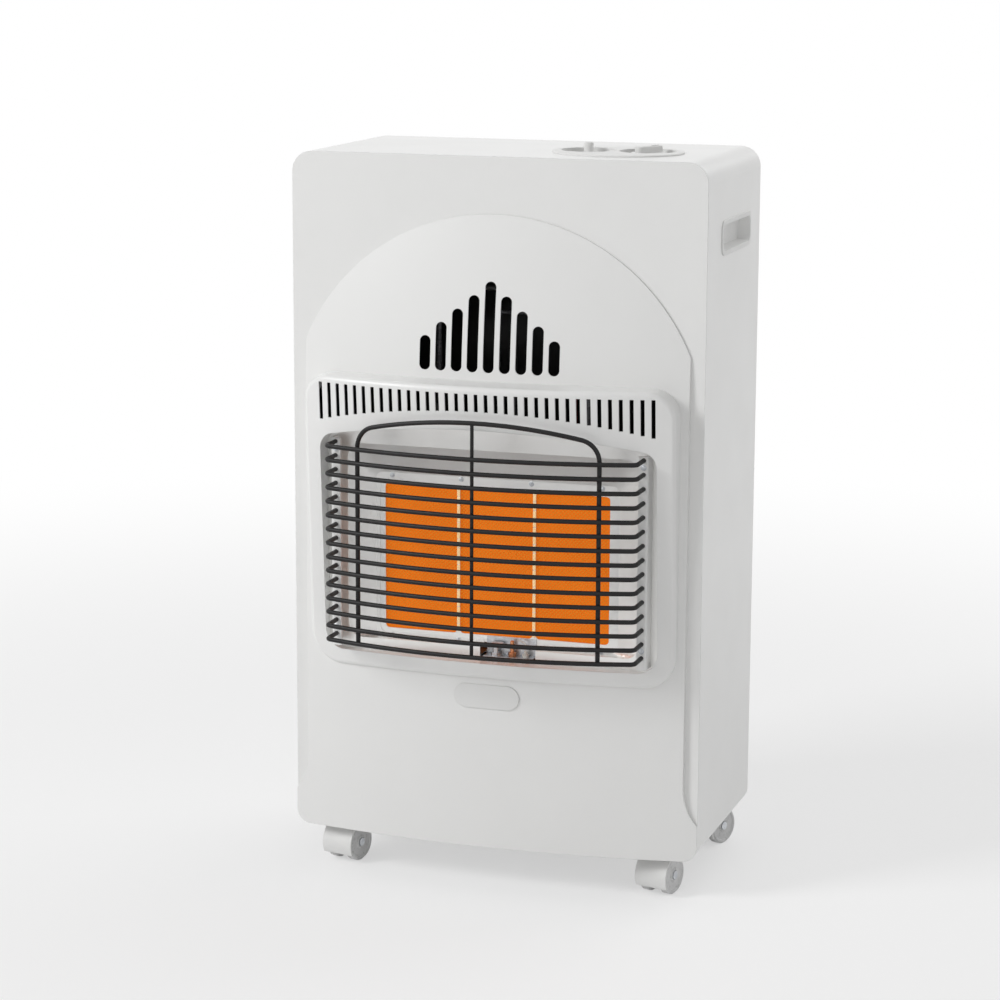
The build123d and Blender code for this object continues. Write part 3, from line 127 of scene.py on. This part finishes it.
# %% Socket names and colours
SHADER_SOCKETS = {
    "base_color": "Base Color", "metallic": "Metallic", "roughness": "Roughness",
    "normal": "Normal", "coat": "Coat Weight", "coat_roughness": "Coat Roughness",
    "glow": "Emission Color", "glow_strength": "Emission Strength",
    "specular": "Specular IOR Level",
}
# The Mix node repeats its names, so its colour sockets go by their numbers.
MIX_FACTOR, MIX_FIRST, MIX_SECOND, MIX_RESULT = 0, 6, 7, 2
print(len(SHADER_SOCKETS), "shader sockets named")


def tone(red, green, blue):
    return (red, green, blue, 1.0)


# %% A finish and its nodes
class Finish:
    """A material with one Principled shader, and the way to add nodes to it."""

    def __init__(self, name, **constants):
        self.material = bpy.data.materials.new(name)
        self.material.use_nodes = True
        self.tree = self.material.node_tree
        self.shader = self.tree.nodes["Principled BSDF"]
        self.set(**constants)

    def plug(self, socket, value):
        if isinstance(value, Wire):
            self.tree.links.new(value.socket, socket)
        else:
            socket.default_value = value

    def set(self, **values):
        """Values or wires for the shader's sockets, written as base_color=..., roughness=..."""
        for name, value in values.items():
            self.plug(self.shader.inputs[SHADER_SOCKETS[name]], value)

    def node(self, kind, settings=None, inputs=None, output=0):
        made = self.tree.nodes.new("ShaderNode" + kind)
        for name, value in (settings or {}).items():
            if name == "stops":
                self.lay_stops(made.color_ramp, value)
            else:
                setattr(made, name, value)
        for name, value in (inputs or {}).items():
            self.plug(made.inputs[name], value)
        return Wire(self, made.outputs[output])

    def lay_stops(self, ramp, stops):
        while len(ramp.elements) < len(stops):
            ramp.elements.new(0.5)
        for element, (place, colour) in zip(ramp.elements, stops):
            element.position = place
            element.color = colour

    def place(self):
        return self.node("TexCoord", output="Object")

    def placed(self, **mapping):
        """Object coordinates turned or stretched, written as Scale=... and Rotation=..."""
        inputs = {"Vector": self.place(), **mapping}
        return self.node("Mapping", {"vector_type": "POINT"}, inputs)

    def vector_maths(self, operation, *values, output=0):
        return self.node("VectorMath", {"operation": operation}, dict(enumerate(values)), output)

    def noise(self, scale, detail, vector=None):
        inputs = {"Vector": vector or self.place(), "Scale": scale, "Detail": detail}
        return self.node("TexNoise", {}, inputs)

    def mask(self, level, none_at, full_at):
        """Ramp from 0 where level is none_at to 1 where it is full_at."""
        stops = sorted([(none_at, tone(0, 0, 0)), (full_at, tone(1, 1, 1))])
        return self.node("ValToRGB", {"stops": stops}, {0: level})

    def mix(self, factor, first, second):
        inputs = {MIX_FACTOR: factor, MIX_FIRST: first, MIX_SECOND: second}
        return self.node("Mix", {"data_type": "RGBA"}, inputs, MIX_RESULT)

    def bump(self, height, distance, strength, under=None):
        """Bump for the shader's normal, laid over the normal under, if there is one."""
        inputs = {"Height": height, "Distance": distance, "Strength": strength}
        if under:
            inputs["Normal"] = under
        self.set(normal=self.node("Bump", {}, inputs))

    def rounded_edges(self, radius):
        """Normal that bends round every sharp edge, as a coat or a mould leaves it."""
        return self.node("Bevel", {"samples": 4}, {"Radius": radius})


print("a finish can set", ", ".join(SHADER_SOCKETS))

# %% [markdown]
# ## The studio
# The object stands on a plain pale floor under soft lamps. The background should be white without
# pouring light on the heater. So what lights the heater and what the camera and reflections see are two
# shaders, and Light Path tells the rays apart. Round the heater the floor is half a pale matt grey and
# half a plain white glow, so the shadow stays soft and pale, and farther out it turns wholly white.

# %% World
WORLD_LIGHT = 0.40
world = bpy.data.worlds.new("studio")
world.use_nodes = True
bpy.context.scene.world = world
sky = world.node_tree
sky.nodes.clear()
seen = sky.nodes.new("ShaderNodeBackground")
seen.inputs["Strength"].default_value = 1.0
lighting = sky.nodes.new("ShaderNodeBackground")
lighting.inputs["Strength"].default_value = WORLD_LIGHT
for background in (seen, lighting):
    background.inputs["Color"].default_value = tone(1, 1, 1)


def add_sight_test(tree):
    """1 for camera, glossy and transmission rays, which see the white background."""
    rays = tree.nodes.new("ShaderNodeLightPath")
    total = rays.outputs["Is Camera Ray"]
    for name in ("Is Glossy Ray", "Is Transmission Ray"):
        either = tree.nodes.new("ShaderNodeMath")
        either.operation = "MAXIMUM"
        tree.links.new(total, either.inputs[0])
        tree.links.new(rays.outputs[name], either.inputs[1])
        total = either.outputs[0]
    return total


chooser = sky.nodes.new("ShaderNodeMixShader")
sky.links.new(add_sight_test(sky), chooser.inputs[0])
sky.links.new(lighting.outputs[0], chooser.inputs[1])
sky.links.new(seen.outputs[0], chooser.inputs[2])
sky_end = sky.nodes.new("ShaderNodeOutputWorld")
sky.links.new(chooser.outputs[0], sky_end.inputs["Surface"])
print("world lights at", WORLD_LIGHT)

# %% Objects and meshes
def new_object(name, data):
    made = bpy.data.objects.new(name, data)
    bpy.context.scene.collection.objects.link(made)
    return made


def mesh_of(bm, name):
    """Mesh from a bmesh, with its normals pointing out."""
    bmesh.ops.recalc_face_normals(bm, faces=bm.faces)
    mesh = bpy.data.meshes.new(name)
    bm.to_mesh(mesh)
    bm.free()
    return mesh


def finished(bm, name, material):
    """Object from a bmesh, in its material."""
    made = new_object(name, mesh_of(bm, name))
    made.data.materials.append(material)
    return made


# %% Floor
FLOOR_HALF = 60.0
FLOOR_GREY = tone(0.86, 0.86, 0.86)
FLOOR_GLOW = 0.50
FADE_START, FADE_END = 0.55, 2.2    # metres from the heater over which the floor turns plain white

floor_finish = Finish("floor", base_color=FLOOR_GREY, roughness=0.9, specular=0.2)
from_heater = floor_finish.vector_maths("LENGTH", floor_finish.place(), output="Value")
fade = floor_finish.node("MapRange", {"interpolation_type": "SMOOTHSTEP"}, {
    "Value": from_heater, "From Min": FADE_START, "From Max": FADE_END,
    "To Min": FLOOR_GLOW, "To Max": 1.0,
})
glow_share = Wire(floor_finish, add_sight_test(floor_finish.tree)) * fade
white_glow = floor_finish.node("Emission", {}, {"Color": tone(1, 1, 1), "Strength": 1.0})
floor_mix = floor_finish.node("MixShader", {}, {
    0: glow_share, 1: Wire(floor_finish, floor_finish.shader.outputs[0]), 2: white_glow,
})
floor_end = floor_finish.tree.nodes["Material Output"]
floor_finish.tree.links.new(floor_mix.socket, floor_end.inputs["Surface"])

bm = bmesh.new()
bmesh.ops.create_grid(bm, x_segments=2, y_segments=2, size=FLOOR_HALF)
floor = finished(bm, "floor", floor_finish.material)
print("floor", 2 * FLOOR_HALF, "m across")

# %% [markdown]
# ## The lamps
# Four square softboxes light the heater, the key from the left and the others much weaker. The satin
# top shows a lamp as glare where the lamp lies in the camera's mirror direction, so the rear lamp is
# large and high, and the lamp over the top is weak.

# %% Lamps
LAMPS = {
    # name: place, what it looks at, size, watts
    "key_softbox": ((-2.4, -2.2, 2.2), (0.0, 0.0, 0.35), 1.3, 66.0),
    "fill_softbox": ((2.6, -1.4, 1.2), (0.1, 0.0, 0.35), 1.8, 5.0),
    "top_softbox": ((0.3, 0.6, 2.6), (0.0, 0.0, 0.6), 1.6, 6.0),
    "rear_softbox": ((1.4, 2.2, 2.4), (0.0, 0.1, 0.4), 2.2, 20.0),
}
for name, (place, target, size, watts) in LAMPS.items():
    lamp = bpy.data.lights.new(name, "AREA")
    lamp.shape = "SQUARE"
    lamp.size = size
    lamp.energy = watts
    holder = new_object(name, lamp)
    aim = (Vector(target) - Vector(place)).to_track_quat("-Z", "Y")
    holder.matrix_world = Matrix.Translation(place) @ aim.to_matrix().to_4x4()
    print(name, watts, "W")

# %% [markdown]
# ## White powder coat
# The cabinet is bent sheet with a baked powder coat. Up close such a coat is never flat: it has a fine
# orange-peel ripple, gathers a little on edges and dulls unevenly with wiping. Two fine noises give the
# ripple as bump, and a coarse one gives the dulling as roughness. Inside, the sheet is painted
# near-black as painted shade, so what is seen through the vents reads as the shade in the cabinet. A
# face is inside where it looks towards the middle of the cabinet, so the dot product of its normal with
# its own direction from the middle tells the two sides apart. The height counts for little in that
# direction, so a step or a hood that looks up near the floor still counts as outside.

# %% Enamel
WHITE = tone(0.84, 0.84, 0.83)
# Painted shade: the inside faces take this near-black colour, for the shade seen through the vents.
INSIDE_PAINTED_SHADE = tone(0.018, 0.018, 0.019)
CABINET_MIDDLE = (0.0, 0.03, 0.38)
FLATTENED = (1.0, 1.0, 0.15)    # what each direction counts for in telling the sides apart
INSIDE_BELOW = -0.01            # dot product below which a face is inside
COAT_ROUNDING = 0.0007          # small radius that a coat gives to every folded edge


def darker(colour, share):
    """The same colour with its values multiplied by share."""
    return tone(*(share * value for value in colour[:3]))


def enamel(name, inside_colour):
    finish = Finish(name, coat_roughness=0.12, coat=0.25)
    wiped = finish.noise(14.0, 4.0)
    coat = finish.mix(wiped, WHITE, darker(WHITE, 0.96))
    outward = finish.vector_maths("SUBTRACT", finish.place(), CABINET_MIDDLE)
    outward = finish.vector_maths("MULTIPLY", outward, FLATTENED)
    normal = finish.node("NewGeometry", output="True Normal")
    # Faces inside the cabinet take inside_colour, which for the cabinet is painted shade.
    inside = finish.vector_maths("DOT_PRODUCT", outward, normal, output="Value") < INSIDE_BELOW
    finish.set(base_color=finish.mix(inside, coat, inside_colour), roughness=wiped * 0.16 + 0.27)
    ripple = finish.noise(520.0, 1.0) * 0.7 + finish.noise(2100.0, 2.0) * 0.3
    finish.bump(ripple, 0.00012, 0.35, finish.rounded_edges(COAT_ROUNDING))
    return finish.material


white_enamel = enamel("white_enamel", INSIDE_PAINTED_SHADE)
print("enamel reads", white_enamel.name)

# %% [markdown]
# ## White on both sides
# The fire surround's inner faces are seen round the firebox mouth, the guard's rails are narrow, and
# the louvres' hems are slim bars. All these are white on both sides, so they get the coat without the
# near-black painted shade on their inner faces.

# %% Surround enamel
surround_enamel = enamel("surround_enamel", WHITE)
print("surround enamel ready")

# %% [markdown]
# ## Black enamelled wire
# The guard is dipped: the coat is satin, thicker on top of the wire and slightly lumpy. A fine bump
# and an uneven roughness break the highlight that runs along each wire.

# %% Black wire
def dipped_black():
    finish = Finish("black_wire", specular=0.28)
    lumps = finish.noise(380.0, 3.0)
    black = finish.mix(lumps, tone(0.006, 0.006, 0.007), tone(0.014, 0.013, 0.013))
    finish.set(base_color=black, roughness=lumps * 0.25 + 0.34)
    finish.bump(lumps, 0.0002, 0.5)
    return finish.material


black_wire = dipped_black()
print("wire finish ready")

# %% [markdown]
# ## Rolled and plated metals
# Bright sheet shows its rolling lines: noise stretched sixtyfold along the rolling direction gives
# them, as bump and as roughness. Heat has dulled it a little, in clouds. Zinc plate and aluminised
# sheet have a crystal spangle instead, which a Voronoi cell colour gives. The gas pipes get the same
# spangle in a dark grey, as painted shade, so the pipes seen through the vents stay as dark as the shade
# around them. Brass and copper are machined or drawn, with fine rings or streaks and a faint brown
# tarnish.

# %% Rolled sheet
def rolled_sheet(name, bright, dull, rough):
    finish = Finish(name, metallic=1.0)
    lines = finish.noise(60.0, 4.0, finish.placed(Scale=(1.0, 6.0, 60.0)))
    cloud = finish.noise(22.0, 3.0)
    finish.set(base_color=finish.mix(cloud, bright, dull), roughness=lines * 0.16 + rough)
    finish.bump(lines, 0.00015, 0.3)
    return finish.material


bright_steel = rolled_sheet("bright_steel", tone(0.86, 0.86, 0.85), tone(0.78, 0.77, 0.75), 0.26)
print("rolled sheet ready")

# %% Spangled plate
ZINC_CRYSTALS, ALUMINIUM_CRYSTALS = 420.0, 260.0    # crystals in a metre


def spangled(name, light, dark, rough, crystals):
    finish = Finish(name, metallic=1.0)
    cell = {"Vector": finish.place(), "Scale": crystals}
    level = finish.node("SeparateColor", {}, {0: finish.node("TexVoronoi", {}, cell, "Color")})
    grain = finish.noise(900.0, 2.0)
    finish.set(base_color=finish.mix(level, light, dark))
    finish.set(roughness=level * 0.14 + grain * 0.08 + rough)
    finish.bump(level * 0.6 + grain * 0.4, 0.00008, 0.4)
    return finish.material


zinc_steel = spangled(
    "zinc_steel", tone(0.66, 0.68, 0.70), tone(0.52, 0.54, 0.57), 0.28, ZINC_CRYSTALS)
aluminised_steel = spangled(
    "aluminised_steel", tone(0.56, 0.56, 0.55), tone(0.42, 0.42, 0.42), 0.42, ALUMINIUM_CRYSTALS)
# Painted shade: the pipes are darkened so that they stay as dark as the shade behind the vents.
pipe_painted_shade = spangled(
    "pipe_painted_shade", tone(0.24, 0.24, 0.25), tone(0.16, 0.16, 0.17), 0.55, ZINC_CRYSTALS)
print("plated sheet and pipe ready")

# %% Brass and copper
def yellow_metal(name, clean, tarnished, rough):
    finish = Finish(name, metallic=1.0)
    rings = finish.noise(90.0, 3.0, finish.placed(Scale=(1.0, 1.0, 14.0)))
    patch = finish.mask(finish.noise(70.0, 4.0), 0.42, 0.66)
    finish.set(base_color=finish.mix(patch, clean, tarnished), roughness=rings * 0.14 + rough)
    finish.bump(rings, 0.0001, 0.4)
    return finish.material


brass = yellow_metal("brass", tone(0.62, 0.42, 0.14), tone(0.40, 0.24, 0.08), 0.24)
copper = yellow_metal("copper", tone(0.66, 0.30, 0.15), tone(0.36, 0.15, 0.08), 0.26)
print("brass and copper ready")

# %% [markdown]
# ## Glowing ceramic plaques
# A plaque is a tile of cordierite pierced by thousands of fine holes in staggered rows. Gas burns just
# under its surface, so the face glows orange, unevenly, and a little yellower in the holes. The holes
# are a Voronoi pattern with no randomness, turned by 45 degrees to stagger the rows: its distance is
# small at each hole's middle. The glow is emission of about half strength over an orange colour, so it
# stays orange and doesn't wash out.

# %% Plaque finish
HOLE_PITCH = 0.0027
GLOW = 0.52


def pierced_ceramic():
    finish = Finish("glowing_ceramic", roughness=0.85, specular=0.2, glow_strength=GLOW)
    turned = finish.placed(Rotation=(0.0, radians(45), 0.0), Scale=(1.0, 0.0, 1.0))
    grid = {"Vector": turned, "Scale": 1 / HOLE_PITCH, "Randomness": 0.0}
    distance = finish.node("TexVoronoi", {"feature": "F1"}, grid, "Distance")
    hole = finish.mask(distance, 0.34, 0.22)
    glow_patches = finish.noise(24.0, 2.0)
    face = finish.mix(glow_patches, tone(0.66, 0.15, 0.008), tone(0.56, 0.11, 0.005))
    hot = finish.mix(glow_patches, tone(0.86, 0.175, 0.007), tone(0.68, 0.115, 0.004))
    # Painted shade: the holes' base colour is darker, for the shade inside each hole.
    finish.set(base_color=finish.mix(hole, face, tone(0.26, 0.05, 0.003)))
    finish.set(glow=finish.mix(hole, hot, tone(1.0, 0.36, 0.03)))
    finish.bump(1 - hole, 0.0006, 0.6)
    return finish.material


glowing_ceramic = pierced_ceramic()
print("holes every", HOLE_PITCH * 1000, "mm")

# %% [markdown]
# ## Plastics and ceramic
# The controls, hand-holds and castors are moulded plastic: the mould is spark-eroded, so the surface
# has a fine even grain. The wheels are greyer, with scuffs. The electrode's sleeve is glazed ceramic,
# and its lead has a red silicone cover.

# %% Moulded plastic
MOULD_ROUNDING = 0.0005


def moulded(name, colour, rough, grain_size, scuffed=None):
    finish = Finish(name, specular=0.45)
    blotch = finish.noise(30.0, 3.0)
    surface = finish.mix(blotch, colour, darker(colour, 0.94))
    if scuffed:
        scratches = finish.mask(finish.noise(260.0, 4.0), 0.55, 0.72)
        surface = finish.mix(scratches, surface, scuffed)
    finish.set(base_color=surface, roughness=blotch * 0.14 + rough)
    grain = finish.noise(grain_size, 1.0)
    finish.bump(grain, 0.00006, 0.5, finish.rounded_edges(MOULD_ROUNDING))
    return finish.material


SCUFF = tone(0.54, 0.54, 0.53)
white_plastic = moulded("white_plastic", tone(0.80, 0.80, 0.79), 0.38, 1600.0)
grey_plastic = moulded("grey_plastic", tone(0.70, 0.70, 0.70), 0.42, 1600.0, SCUFF)
white_ceramic = moulded("white_ceramic", tone(0.78, 0.76, 0.70), 0.16, 700.0)
lead_sleeve = moulded("lead_sleeve", tone(0.42, 0.03, 0.015), 0.5, 1100.0)
print("plastics ready")

# %% [markdown]
# ## Dressing the solids
# Each solid keeps its shape and takes the finish of its slot in the record. The fire surround and the
# guard's rails are exceptions, because both their sides are white, and so are the gas pipes, made dark
# as painted shade.

# %% Assign the finishes
finishes = {
    "white_enamel": white_enamel, "black_wire": black_wire, "bright_steel": bright_steel,
    "zinc_steel": zinc_steel, "aluminised_steel": aluminised_steel,
    "glowing_ceramic": glowing_ceramic, "brass": brass, "copper": copper,
    "white_plastic": white_plastic, "grey_plastic": grey_plastic,
    "white_ceramic": white_ceramic, "lead_sleeve": lead_sleeve,
}
exceptions = {
    "fire_surround": surround_enamel, "guard_rails": surround_enamel,
    # The gas pipes take the dark pipe finish, which is painted shade.
    "burner_pipes": pipe_painted_shade, "pilot_pipe": pipe_painted_shade,
}
for part in frame["record"]["subparts"]:
    solid = nodes[part["node"]]
    finish = exceptions.get(part["node"], finishes[part["material_slot"]])
    for slot in solid.material_slots:
        slot.material = finish
    if not solid.material_slots:
        solid.data.materials.append(finish)

# %% [markdown]
# ## Screws
# Sheet-metal screws hold the burner frame to the reflector's back lip, and each of the guard's rails
# has two in its front flange. Such a screw has a round flange under a hexagon. Both start from a cone
# operator: twenty-four sides for the flange, six for the hexagon, each with its upper edge bevelled, as
# a pressed head has.

# %% Rounded edges
ROUNDING_STEPS = 2


def edges_of(made):
    """The edges of what an operator made, each once."""
    return list(dict.fromkeys(e for v in made["verts"] for e in v.link_edges))


def bevelled(bm, edges, width):
    bmesh.ops.bevel(bm, geom=edges, offset=width, offset_type="OFFSET", affect="EDGES",
                    segments=ROUNDING_STEPS, profile=0.5, material=-1)


# %% Screw heads
FLANGE_SIDES, FLANGE_T = 24, 0.0006
HEX_SIDES, HEX_T = 6, 0.0014
HEX_SHARE = 0.68                # the hexagon's radius as a share of the flange's
HEX_ROUNDING = 0.0003
NEAR = 1e-7                     # an edge this close to the top is the upper one


def add_disc(bm, sides, radius, low, high, soften):
    """Short prism or disc standing on z = low, its upper edge rounded."""
    at = Matrix.Translation((0, 0, (low + high) / 2))
    made = bmesh.ops.create_cone(bm, cap_ends=True, segments=sides, radius1=radius,
                                 radius2=radius, depth=high - low, matrix=at)
    top = [e for e in edges_of(made) if all(v.co.z > high - NEAR for v in e.verts)]
    bevelled(bm, top, soften)


def screw_head(name, place, radius):
    """Flanged hexagon head that faces the front."""
    bm = bmesh.new()
    add_disc(bm, FLANGE_SIDES, radius, 0, FLANGE_T, FLANGE_T / 3)
    add_disc(bm, HEX_SIDES, radius * HEX_SHARE, FLANGE_T / 2, FLANGE_T + HEX_T, HEX_ROUNDING)
    turn = Matrix.Rotation(radians(90), 4, "X")
    bmesh.ops.transform(bm, matrix=Matrix.Translation(place) @ turn, verts=bm.verts)
    head = finished(bm, name, zinc_steel)
    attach(head, "cabinet")
    return head


# %% Place the screws
FRAME_ROWS = {
    # row: height, places across, radius of the flange
    "top": (0.4055, (-0.108, -0.036, 0.036, 0.108), 0.0025),
    "low": (0.2438, (-0.108, -0.039, 0.108), 0.0022),
}
LIP_T = 0.0008                  # the reflector's back lip lies on the frame, under the screws
RAIL_ZS = {"low": 0.2549, "high": 0.4343}
RAIL_SCREW_R = 0.0029
RAIL_INSET = 0.005              # from a rail's outer edge to the middle of its front flange

lip_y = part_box("burner_frame")[0].y - LIP_T
rail_low, rail_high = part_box("guard_rails")
rail_x = rail_high.x - RAIL_INSET
screws = []
for row, (z, xs, radius) in FRAME_ROWS.items():
    for index, x in enumerate(xs):
        screws.append(screw_head(f"frame_screw_{row}_{index}", (x, lip_y, z), radius))
for side, label in ((-1, "left"), (1, "right")):
    for level, z in RAIL_ZS.items():
        place = (side * rail_x, rail_low.y, z)
        screws.append(screw_head(f"rail_screw_{label}_{level}", place, RAIL_SCREW_R))
print(len(screws), "screws")

# %% [markdown]
# ## Ribs on the bars between the plaques
# The frame's two narrow bars stand in the heat of the plaques on both sides, and the drawing shows them
# as pale warm lines on the orange. A row of pressed ribs stiffens each one, as wide as the bar and close
# together. Each rib is a cube stretched into a pad, with its edges rounded off. The ribs are pale and
# glow a little: the glow is painted light, which keeps them bright between the plaques.

# %% Rib finish with painted glow
def rib_with_painted_glow():
    # Painted light: the ribs glow, though they are no lamp.
    finish = Finish("bar_rib", roughness=0.6, specular=0.3, glow_strength=0.34)
    glow_patches = finish.noise(60.0, 2.0)
    finish.set(base_color=finish.mix(glow_patches, tone(0.90, 0.74, 0.46), tone(0.84, 0.62, 0.32)))
    finish.set(glow=finish.mix(glow_patches, tone(1.0, 0.72, 0.40), tone(1.0, 0.55, 0.22)))
    finish.bump(finish.noise(900.0, 1.0), 0.0001, 0.4)
    return finish.material


rib_finish = rib_with_painted_glow()
print("rib finish ready")

# %% Bar ribs
RIB_PITCH, RIB_LENGTH, RIB_WIDTH, RIB_RISE = 0.0085, 0.0077, 0.0030, 0.0010
RIB_ROUNDING = 0.0006
BAR_END = 0.002                 # least bare length at each end of a row
BAR_SHIFT = 0.0005              # from the middle plaque's side to the middle of the bar
bar_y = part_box("burner_frame")[0].y
plaque_low, plaque_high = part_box("plaque_middle")
rib_count = int((plaque_high.z - plaque_low.z - 2 * BAR_END) / RIB_PITCH)


def add_pad(bm, at, size, soften):
    """Cube stretched to size, with its edges rounded off."""
    made = bmesh.ops.create_cube(bm, size=1.0, matrix=at @ Matrix.Diagonal((*size, 1)))
    bevelled(bm, edges_of(made), soften)


def rib_row(name, x):
    bm = bmesh.new()
    middle_z = (plaque_low.z + plaque_high.z) / 2
    for index in range(rib_count):
        z = middle_z + (index - (rib_count - 1) / 2) * RIB_PITCH
        at = Matrix.Translation((x, bar_y, z))
        add_pad(bm, at, (RIB_WIDTH, 2 * RIB_RISE, RIB_LENGTH), RIB_ROUNDING)
    row = finished(bm, name, rib_finish)
    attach(row, "cabinet")


rib_row("bar_ribs_left", plaque_low.x - BAR_SHIFT)
rib_row("bar_ribs_right", plaque_high.x + BAR_SHIFT)
print(rib_count, "ribs on each bar")

# %% [markdown]
# ## Hems under the louvres
# Each slit of the rear cover has its lower cut edge turned up in a small hem, which makes it safe to
# touch and keeps anyone from looking straight in under the hood. The hems are slim bars in the plane of
# the sheet, one under each hood, with rounded edges, and they lift off with the cover.

# %% Louvre hems
LOUVRE_ROWS, LOUVRE_PITCH = 6, 0.020
LOUVRE_LOW_ZS = (0.130, 0.565)
LOUVRE_X, SLIT_HALF = 0.082, 0.0552
HEM_LOW, HEM_HIGH, HEM_T = 0.0008, 0.0009, 0.0010    # below and above the hood's edge, thickness
HEM_ROUNDING = 0.0003
FACE_SET_IN = 0.003                 # the sheet's face lies this far in front of the hoods' edges

cover_face_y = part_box("rear_cover")[1].y - FACE_SET_IN
bm = bmesh.new()
for low_z in LOUVRE_LOW_ZS:
    for row in range(LOUVRE_ROWS):
        z = low_z + row * LOUVRE_PITCH + (HEM_HIGH - HEM_LOW) / 2
        for x in (-LOUVRE_X, LOUVRE_X):
            at = Matrix.Translation((x, cover_face_y - HEM_T / 2, z))
            add_pad(bm, at, (2 * SLIT_HALF, HEM_T, HEM_LOW + HEM_HIGH), HEM_ROUNDING)
hems = finished(bm, "louvre_hems", surround_enamel)
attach(hems, "rear_cover")
print(2 * len(LOUVRE_LOW_ZS) * LOUVRE_ROWS, "hems, sheet's face at", round(cover_face_y, 4))

# %% [markdown]
# ## The pointer on the knob
# A line let into the finger bar tells where the knob points. It is a thin pad with rounded edges that
# stands a little proud, and it turns with the knob.

# %% Knob pointer
KNOB_ANGLE = radians(60)
POINTER_REACH = 0.0085              # from the knob's middle to the pointer's
POINTER_SIZE = (0.0095, 0.0014, 0.0003)
POINTER_ROUNDING = 0.00008

knob_low, knob_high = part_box("control_knob")
middle = (knob_low + knob_high) / 2
x = middle.x + cos(KNOB_ANGLE) * POINTER_REACH
y = middle.y + sin(KNOB_ANGLE) * POINTER_REACH
at = Matrix.Translation((x, y, knob_high.z)) @ Matrix.Rotation(KNOB_ANGLE, 4, "Z")
bm = bmesh.new()
add_pad(bm, at, POINTER_SIZE, POINTER_ROUNDING)
pointer_ink = moulded("pointer_ink", tone(0.03, 0.03, 0.032), 0.4, 1500.0)
pointer = finished(bm, "knob_pointer", pointer_ink)
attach(pointer, "control_knob")
print("pointer at", [round(v, 4) for v in at.translation])

# %% [markdown]
# ## Colour view
# The render shows its colours through the Standard view transform.

# %% Finish
bpy.context.scene.view_settings.view_transform = "Standard"
